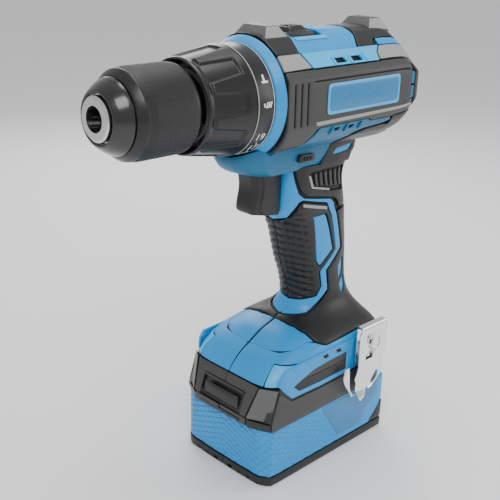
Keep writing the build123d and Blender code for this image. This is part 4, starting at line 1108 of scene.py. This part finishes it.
def rear_band_and_sides():
    skin, at_x, _, total = wall_skin(FOOT_PLAN)

    def wall(shape, points, height, far, **more):
        loops = []
        for line in [points, *more.pop("holes", [])]:
            loop = np.array([(z, at_x(x)) for x, z in line])
            if far:
                loop[:, 1] = total - loop[:, 1]
            loops.append(loop)
        panel(shape, skin, loops[0], height, holes=loops[1:], **more)

    core = inset(full_plan(FOOT_PLAN), 1.2)
    # painted shade: the core's black shows in the gaps between the foot's panels
    Shape().add(*closed_loft([np.column_stack([core, np.full(len(core), z)]) for z in (-184.4, -166.8)])).build(
        "foot_core", "housing", [SHADE_BLACK], slot="black_plastic")
    blue, dark, bits = Shape(), Shape(), Shape()
    for far in (False, True):
        wedge = [(15.7, -167.9), (21.0, -172.4), (41.5, -172.9), (64.0, -172.6), (64.0, -160.6), (46.5, -161.2),
                 (32.9, -162.4)]
        wall(blue, [(9.0, -154.6), (30.0, -153.8), (80.0, -152.8), (99.0, -152.8), (99.0, -173.4), (62.2, -175.4),
                    (38.5, -175.8), (14.6, -175.2), (3.6, -164.0), (5.4, -158.4)], 0.05, far, depth=-1.1,
             bevel=0.35, step=3, holes=[wedge], corner=0.8)
        wall(dark, [(14.0, -167.9), (20.0, -174.0), (66.0, -174.0), (66.0, -159.0), (30.0, -161.0)], -0.7, far,
             depth=-1.1, bevel=0.15, step=4)
        for k in range(5):
            x, z = 14.0 + 12.0 * k, -155.4 + 0.3 * k
            wall(bits, [(x, z), (x + 6.4, z + 0.2), (x + 9.4, z - 4.2), (x + 4.4, z - 4.8)], 0.3, far,
                 depth=-0.3, bevel=0.3, step=2, corner=0.5)
        # painted shade: the two small patches in slot 1 are black, standing for shaded slots in the side
        for x in (40.4, 52.4):
            wall(bits, [(x, -155.6), (x + 4.4, -155.4), (x + 6.0, -158.0), (x + 2.2, -158.2)], 0.4, far,
                 depth=-0.3, bevel=0.15, step=2, corner=0.3, slot=1)
    blue.build("foot_side_blue", "housing", [BLUE], slot="blue_plastic")
    dark.build("foot_side_recess", "housing", [GREY], slot="black_plastic")
    bits.build("foot_side_rungs", "housing", [BLUE, SHADE_BLACK], slot="blue_plastic")
    rear = Shape()
    loop = np.array([(-166.2, at_x(101.0)), (-166.2, total - at_x(101.0)), (-183.2, total - at_x(101.0)),
                     (-183.2, at_x(101.0))])
    panel(rear, skin, loop, 0.1, depth=-1.1, bevel=0.5, step=3)
    rear.build("foot_rear", "housing", [BLACK], slot="black_plastic")


SCALE_FOOT, SCALE_WIDTH, SCALE_HEIGHT = 223, 7.2, 4.6
SCALE_STEP = 0.42      # grid of the battery's face, fine enough for the scales


def battery_case():
    skin, at_x, _, total = wall_skin(CASE_PLAN)
    front_half = at_x(40.0)

    def scales(u, v):
        """Fish-scale texture: rows of overlapping tiles that lean with the front corner."""
        near = np.minimum(v % total, total - v % total)
        across, up = (near + 0.35 * (u + SCALE_FOOT)) / SCALE_WIDTH, (u + SCALE_FOOT - 0.16 * near) / SCALE_HEIGHT
        a, b = np.abs((across + up) % 1.0 - 0.5) * 2, np.abs((across - up) % 1.0 - 0.5) * 2
        groove = np.clip((0.20 - np.minimum(1 - a, 1 - b)) / 0.20, 0, 1)
        tile = ((across + up) % 1.0) * 0.25
        x_like = near - front_half + 0.75 * (u + 193)
        fade = np.clip(-x_like / 0.6, 0, 1)
        return (-0.55 * groove + tile * 1.1 - 0.10) * fade

    shape = Shape()
    us = np.concatenate([[-223.6, -223.4], np.arange(-223.1, -191.6, SCALE_STEP)])
    vs = np.concatenate([np.arange(0, front_half + 12, SCALE_STEP), np.arange(front_half + 14, total / 2 - 2, 4.0)])
    vs = np.concatenate([vs, [total / 2], (total - vs)[:0:-1]])
    rows = []
    for u in us:
        h = scales(np.full(len(vs), u), vs) if u > -223.3 else np.full(len(vs), -0.6)
        rows.append(skin(np.full(len(vs), u), vs, h))
    shape.add(*closed_loft(rows))
    shape.build("battery_case_skin", "battery", [BLUE], sharp=32, stands_for=["battery_case"], slot="blue_plastic")
    plate = Shape()
    for far in (False, True):
        v = lambda x: total - at_x(x) if far else at_x(x)
        loop = np.array([(-193.4, v(42.5)), (-193.4, v(99.0)), (-203.0, v(99.0)), (-211.4, v(88.0)),
                         (-219.6, v(83.0)), (-219.6, v(60.4))])
        panel(plate, skin, loop, 0.30, depth=-0.5, bevel=0.3, step=4, corner=0.8)
    plate.build("battery_label_panel", "battery", [PLATE_BLUE], slot="plate_blue")


def battery_base():
    skin, at_x, at_y, total = wall_skin(BASE_PLAN)

    def base(shape, far):
        sign = (lambda v: total - v) if far else (lambda v: v)
        points = [(0.12, -229.6), (0.12, -224.2), (at_y(16), -224.2), (at_y(16) + 1.2, -223.2), (at_x(92), -223.0),
                  (at_x(97.6), -217.4), (at_x(104.8), -210.6), (total / 2 - 0.1, -210.2), (total / 2 - 0.1, -229.6)]
        loop = np.array([(z, sign(v)) for v, z in points])
        panel(shape, skin, loop, 0.25, depth=-1.6, bevel=0.6, step=3.2, corner=0.8)
        for k in range(3):
            v = 4.0 + 8.0 * k
            loop = np.array([(-229.0, sign(v)), (-229.0, sign(v + 4)), (-226.8, sign(v + 4.6)),
                             (-226.8, sign(v + 1))])
            panel(shape, skin, loop, 0.25, depth=0.0, bevel=0.25, step=3, corner=0.3)

    shape = Shape()
    base(shape, False)
    base(shape, True)
    plan = full_plan(BASE_PLAN)
    rings = [np.column_stack([inset(plan, d), np.full(len(plan), z)]) for d, z in (
        (4.0, -230.0), (2.2, -229.8), (1.0, -228.8), (1.0, -222.0))]
    shape.add(*closed_loft(rings))
    shape.build("battery_base_skin", "battery", [BLACK], stands_for=["battery_base"], slot="black_plastic")


BUMPER_SIDE = 37.45


def battery_bumper():
    """Dark collar of the battery: sloped front with chamfers, side band and latch pocket."""
    shape = Shape()
    front_core(shape)
    # front face plates around the pocket
    for far in (False, True):
        s = 1 if far else -1
        flat_plate(shape, [(-3.3, 0.1 * s, -165.4), (-3.3, 26.4 * s, -165.4), (-9.9, 22.4 * s, -184.6),
                           (-9.9, 17.6 * s, -184.6), (-5.6, 17.6 * s, -171.4), (-5.6, 0.1 * s, -171.4)],
                   0.35, corner=0.5)
        flat_plate(shape, [(-9.8, 0.1 * s, -190.6), (-9.8, 22.6 * s, -190.6), (-10.2, 22.4 * s, -185.0),
                           (-10.2, 0.1 * s, -185.0)], 0.2)
        # painted highlight: the corner chamfer takes the mid grey
        flat_plate(shape, [(-3.2, 26.8 * s, -165.6), (3.8, 36.0 * s, -166.4), (-3.0, 36.9 * s, -186.0),
                           (-9.9, 23.0 * s, -184.6)], 0.35, slot=1)
        flat_plate(shape, [(-10.0, 23.0 * s, -185.2), (-3.0, 36.9 * s, -186.6), (-2.6, 36.9 * s, -192.0),
                           (-8.4, 23.0 * s, -191.6)], 0.3, slot=2)
        edge = [(-2.0, -185.6), (3.6, -168.2), (14.6, -176.8), (38.5, -177.2), (64.0, -176.8), (96.0, -175.6),
                (96.0, -192.0), (-2.0, -192.2)]
        plane_plate(shape, edge, BUMPER_SIDE, s)
    shape.build("battery_bumper_skin", "battery", [GREY, HALF_LIT_GREY, BLACK], stands_for=["battery_bumper"],
                slot="grey_rubber")
    latch()


def front_core(shape):
    """Dark body behind the bumper's plates."""
    corners = [[(-2.6, 26.4), (4.2, 35.4), (6, 36.6)], [(-9.0, 22.6), (-2.4, 36.0), (-1, 36.6)],
               [(-9.2, 22.6), (-2.4, 36.0), (-1, 36.6)], [(-7.4, 22.6), (-2.2, 36.0), (-1, 36.6)]]
    sections = []
    for corner, z in zip(corners, (-166.4, -185.0, -190.0, -191.8)):
        level = [(corner[0][0], 0), *corner, (96, 36.6), (96, 30), (96, 0)]
        loop = [(x, -y) for x, y in level] + [(x, y) for x, y in level[-2:0:-1]]
        sections.append(np.array([(x, y, z) for x, y in loop]))
    shape.add(*closed_loft(sections), slot=2)


def plane_plate(shape, points, y, side):
    """A plate on the upright side plane, corners given in (x, z)."""
    def at(u, v, h=0.0):
        u, v = np.asarray(u, float), np.asarray(v, float)
        return np.stack([u, side * (y + np.broadcast_to(h, u.shape)), v], 1)

    panel(shape, at, np.array(points, float), 0.0, depth=-1.4, bevel=0.4, step=4, corner=0.8)


def latch():
    """Recess, curved grip bar and slot of the release button on the battery's front."""
    shape = Shape()
    flat_plate(shape, [(-3.0, -16.0, -171.8), (-3.0, 16.0, -171.8), (-8.4, 16.0, -190.0), (-8.4, -16.0, -190.0)], 0.0,
               slot=1)
    bar = []
    for y in np.linspace(-14.5, 14.5, 25):
        bulge = 1.0 - (y / 14.5) ** 4 * 0.4
        ring = []
        for t in np.arange(12) * math.pi / 6:
            ring.append((-7.2 - 1.1 * bulge * math.cos(t) - 0.9, y, -179.6 + 4.6 * math.sin(t) - 0.35 * math.cos(t)))
        bar.append(np.array(ring))
    shape.add(*closed_loft(bar))
    # painted shade: black blocks fill the slots above and below the grip bar
    for a, b in (((-17.0, -171.4), (17.0, -172.8)), ((-17.0, -187.6), (17.0, -189.4))):
        x = -6.2 if a[1] > -180 else -10.6
        block = [np.array([(x, y, a[1]), (x, y, b[1]), (x + 3.0, y, b[1]), (x + 3.0, y, a[1])])
                 for y in np.linspace(a[0], b[0], 5)]
        shape.add(*closed_loft(block))
    shape.build("latch_button_skin", "latch_button", [BLACK, SHADE_BLACK], stands_for=["latch_button"], slot="black_plastic")


# ---------------------------------------------------------------- chin, trigger, lever, screws, clip
CHIN_PLAN = rounded([(-9.8, 0), (-9.4, 6.0), (-5.6, 13.6), (4.0, 18.2), (26.0, 18.6), (60.0, 18.6), (60.0, 0)],
                    [0, 3, 5, 5, 2, 0, 0], 5, closed=False)


def chin():
    """The neck's blue front above the trigger, with its chrome-framed light. The neck shell is the darker blue,
    painted shade on the neck.
    """
    loop = densify(np.concatenate([CHIN_PLAN * (1, -1), CHIN_PLAN[::-1][1:-1]]), 2.5)
    clear = np.sqrt(np.maximum(30.9 ** 2 - loop[:, 1] ** 2, 20.0 ** 2))
    top = np.where(loop[:, 0] < 6.5, -clear - 0.2, -24.0)
    sections = []
    for t, push, size in ((0.0, 0.5, 1.0), (0.12, 0.1, 1.0), (0.3, 0.2, 1.0), (0.5, 1.4, 0.995), (0.68, 3.2, 0.985),
                          (0.83, 6.0, 0.965), (0.94, 9.6, 0.94), (1.0, 13.0, 0.90)):
        ring = loop.copy()
        front = np.clip((24 - ring[:, 0]) / 33, 0, 1)
        ring[:, 0] += push * front
        ring[:, 1] *= size
        sections.append(np.column_stack([ring, top * (1 - t) - 42.6 * t]))
    # painted shade: the neck shell is the darker blue
    Shape().add(*closed_loft(sections)).build("neck_shell", "housing", [SHADED_BLUE], sharp=40, slot="blue_plastic")

    def lens(u, v, h=0.0):
        u, v = np.asarray(u, float), np.asarray(v, float)
        x = np.interp(np.abs(v), CHIN_PLAN[:40, 1], CHIN_PLAN[:40, 0])
        x = x + np.interp(u, [-40, -37, -34, -32], [5.0, 2.8, 0.8, 0.3])
        return np.stack([x - np.broadcast_to(h, u.shape), -v, u], 1)

    frame_loop = np.array([(-32.6, -11.6), (-35.4, -11.2), (-36.9, 0), (-35.4, 11.2), (-32.6, 11.6), (-33.2, 0)])
    hole = np.array([(-33.3, -10.4), (-34.7, -10.2), (-36.1, 0), (-34.7, 10.2), (-33.3, 10.4), (-34.0, 0)])
    frame_piece = Shape()
    panel(frame_piece, lens, frame_loop, 0.6, depth=-0.9, bevel=0.2, step=1.2, corner=0.8, holes=[hole])
    frame_piece.build("light_frame", "housing", [CHROME], stands_for=["led_window"], slot="clear_lens")
    glass = Shape()
    panel(glass, lens, hole, 0.15, depth=-0.9, bevel=0.1, step=1.2, corner=0.5)
    for k in range(6):
        v = -8.4 + 3.4 * k
        u = -34.1 - 0.9 * (1 - abs(v) / 10)
        panel(glass, lens, np.array([(u + 0.4, v - 0.7), (u - 0.4, v - 0.7), (u - 0.4, v + 0.7), (u + 0.4, v + 0.7)]),
              0.4, depth=0.0, bevel=0.15, step=1.2, corner=0.2, slot=1)
    glass.build("light_window", "housing", [GLOSS_BLACK, CHROME], slot="clear_lens")


def trigger():
    """Pressed lever with a vertical shoulder on each side and a rounded front."""
    side = [(-41.6, 6.4, 27.6), (-46.0, 7.2, 27.6), (-50.0, 7.8, 27.6), (-54.0, 7.6, 27.6), (-59.0, 6.4, 27.6),
            (-63.4, 5.6, 27.6), (-65.4, 6.0, 27.6), (-67.0, 8.0, 27.4), (-69.0, 16.0, 27.0), (-69.6, 20.0, 26.4)]
    sections = []
    for z, front, back in side:
        narrow = 1.0 if z > -62 else 0.97
        plan = rounded([(front, -5.4), (front + 3.0, -8.0), (front + 5.6, -8.2), (front + 6.6, -9.2), (back, -9.2),
                        (back, 9.2), (front + 6.6, 9.2), (front + 5.6, 8.2), (front + 3.0, 8.0), (front, 5.4)],
                       [2.0, 2.4, 0.8, 0.8, 0.4, 0.4, 0.8, 0.8, 2.4, 2.0], 5)
        plan[:, 1] *= narrow
        sections.append(np.column_stack([plan, np.full(len(plan), z)]))
    fine = []
    for a, b in zip(sections[:-1], sections[1:]):
        fine += [a, (a + b) / 2]
    fine.append(sections[-1])
    Shape().add(*closed_loft(fine)).build("trigger_skin", "trigger", [BLACK], sharp=32, stands_for=["trigger"],
                                          slot="black_plastic")


def direction_button():
    shape = Shape()
    for side in (-1, 1):
        outline = rounded([(29.6, -37.2), (42.4, -37.4), (43.4, -33.4), (30.6, -32.8)], 1.3, 4)
        levels = [(side * y, size) for y, size in ((16.0, 1.0), (20.2, 1.0), (20.8, 0.93), (21.0, 0.82))]
        points, faces = stacked(outline, outline.mean(0), levels)
        shape.add(points[:, [0, 2, 1]], faces)
        for k in range(3):
            x = 32.8 + 2.6 * k
            shape.add(*closed_loft([np.array([(x, side * y, -36.4), (x + 1.0, side * y, -36.4),
                                              (x + 1.3, side * y, -33.9), (x + 0.3, side * y, -33.9)])
                                    for y in (20.6, 21.0)]))
    shape.build("direction_button", "direction_lever", [BLACK], stands_for=["direction_lever"], slot="black_plastic")


def neck_grip_extension():
    """Black rubber under the barrel's rear that leads into the rear grip, with a blue window."""
    plan = [(20, 0), (20, 18.4), (42, 18.6), (66, 18.4), (84, 15.6), (94.0, 8.6), (94.0, 0)]
    at, at_x, _, total = wall_skin(plan)
    shape, blue = Shape(), Shape()
    for far in (False, True):
        v = (lambda x: total - at_x(x)) if far else at_x
        outline = [(60.0, -27.4), (93.6, -27.4), (93.6, -31.6), (87.0, -34.4), (81.4, -39.0), (78.6, -43.6),
                   (50.4, -43.6), (50.4, -41.0), (56.6, -33.0)]
        window = [(60.2, -37.4), (64.0, -34.0), (82.4, -33.6), (77.4, -37.2)]
        panel(shape, at, np.array([(z, v(x)) for x, z in outline]), 0.35, depth=-1.2, bevel=0.5, step=2.4, corner=1.0,
              holes=[np.array([(z, v(x)) for x, z in window])])
        panel(blue, at, np.array([(z, v(x)) for x, z in window]), -0.2, depth=-1.2, bevel=0.2, step=2.4, corner=0.4)
    shape.build("grip_shoulder", "housing", [RUBBER], slot="black_rubber")
    blue.build("grip_shoulder_window", "housing", [BLUE], slot="blue_plastic")


CLIP_SCREW = (82.0, -158.0)


def belt_clip():
    """Sprung steel clip: a plate with a window, an inner leaf and rounded spring loops."""
    shape = Shape()

    def plate_at(y0):
        def at(u, v, h=0.0):
            u, v = np.asarray(u, float), np.asarray(v, float)
            bow = np.interp(v, [-197, -188, -178, -150, -146.4, -144.8], [-1.2, 2.4, 0.2, 0.0, 0.0, 0.8])
            y = y0 + bow - np.broadcast_to(h, u.shape)
            return np.stack([u, y, v], 1)
        return at

    outline = [(71.0, -145.6), (94.4, -145.6), (95.8, -148.0), (95.8, -162.4), (92.8, -177.0), (87.6, -179.6),
               (86.0, -184.4), (84.6, -189.6), (79.4, -190.4), (76.4, -194.6), (71.6, -196.4), (69.8, -190.0),
               (69.2, -184.0), (66.2, -179.0), (69.0, -172.0), (68.4, -149.4)]
    window = [(75.4, -150.4), (88.4, -150.4), (88.8, -161.0), (84.4, -164.0), (82.6, -168.6), (75.6, -168.6)]
    panel(shape, plate_at(-43.6), np.array(outline, float), 0.0, depth=-1.0, bevel=0.3, step=1.6, corner=1.2,
          holes=[np.array(window, float)])
    leaf = [(73.6, -158.0), (79.4, -157.0), (80.2, -161.6), (85.6, -163.4), (87.6, -171.6), (82.8, -176.0),
            (77.0, -172.4), (73.4, -164.0)]
    panel(shape, plate_at(-41.6), np.array(leaf, float), 0.0, depth=-0.8, bevel=0.3, step=1.6, corner=1.2)
    # folded top and the leg against the foot
    loop = rounded([(-43.9, -145.9), (-43.2, -144.9), (-39.4, -144.6), (-38.5, -145.6), (-38.5, -171.0),
                    (-39.3, -171.0), (-39.3, -146.1), (-42.9, -146.2)], 0.3, 2)
    shape.add(*closed_loft([
        np.column_stack([np.full(len(loop), x), np.clip(loop[:, 0], -43.7, -38.3), loop[:, 1]])
        for x in np.linspace(70.6, 94.0, 9)]))
    # spring loops at the lower left and right
    for x0, z0, lean in ((60.6, -170.0, 1.0), (92.0, -170.0, -1.0)):
        sections = []
        for t in np.linspace(0, 1, 22):
            z = z0 - 22 * t
            x = x0 + lean * (7.0 * t ** 2) - lean * 2.4 * math.sin(math.pi * t)
            y = -40.9 - 1.6 * math.sin(math.pi * t)
            wide = 4.6 + 1.8 * math.sin(2 * math.pi * t) - 1.2 * t
            ring = [(x + wide * 0.5 * math.cos(a), y + 0.55 * math.sin(a), z) for a in np.arange(12) * math.pi / 6]
            sections.append(np.array(ring))
        shape.add(*closed_loft(sections))
    shape.build("belt_clip_steel", "housing", [CHROME], sharp=30, stands_for=["belt_clip"], slot="bright_steel")
    head = Shape()
    for radius, y0, y1 in ((3.7, -39.0, -40.9), (2.9, -40.8, -41.3)):
        loop = [(CLIP_SCREW[0] + radius * math.cos(t), CLIP_SCREW[1] + radius * math.sin(t))
                for t in np.arange(32) * math.pi / 16]
        head.add(*closed_loft([np.array([(x, y, z) for x, z in loop]) for y in (y0, y1)]))
    # painted shade: thin black bars stand for the shaded cross recess
    for turn in (0.4, 0.4 + math.pi / 2):
        c, s = math.cos(turn), math.sin(turn)
        bar = [(CLIP_SCREW[0] + a * c - b * s, CLIP_SCREW[1] + a * s + b * c)
               for a, b in ((-2, -0.4), (2, -0.4), (2, 0.4), (-2, 0.4))]
        head.add(*closed_loft([np.array([(x, y, z) for x, z in bar]) for y in (-41.2, -41.45)]), slot=1)
    head.build("clip_screw_head", "housing", [STEEL, SHADE_BLACK], stands_for=["belt_clip_screw"], slot="steel")


# ---------------------------------------------------------------- finishes of the CAD parts that stay
def finish_cad():
    finishes = {
        STEEL: ["chuck_body", "chuck_nut", "spindle", "spindle_bearing", "belt_clip_screw", "housing_screws"],
        DARK_STEEL: ["jaw_1", "jaw_2", "jaw_3", "rotor_shaft", "rear_planet_1", "rear_planet_2", "rear_planet_3",
                     "front_planet_1", "front_planet_2", "front_planet_3", "rear_carrier", "front_carrier",
                     "rear_ring_gear", "shift_ring_gear", "front_ring_gear", "motor_pinion", "motor_bearings"],
        COPPER: ["commutator", "battery_contacts"], FERRITE: ["motor_magnets", "rotor_core", "switch_body"],
        CELL_WRAP: ["battery_cells"]}
    chosen = {name: material for material, names in finishes.items() for name in names}
    for name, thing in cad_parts.items():
        material = chosen.get(name, NYLON)
        mesh = thing.data
        for k in range(len(mesh.materials)):
            mesh.materials[k] = material
        if not len(mesh.materials):
            mesh.materials.append(material)


def all_pieces():
    chuck()
    torque_collar()
    scale_marks()
    collar_ring()
    barrel_core()
    for far in (False, True):
        barrel_side(far)
    barrel_top()
    barrel_rear()
    selector()
    column_core()
    column_covers()
    front_grip()
    foot_cover()
    rear_band_and_sides()
    battery_case()
    battery_base()
    battery_bumper()
    chin()
    trigger()
    direction_button()
    neck_grip_extension()
    belt_clip()
    finish_cad()


camera()
studio()
all_pieces()
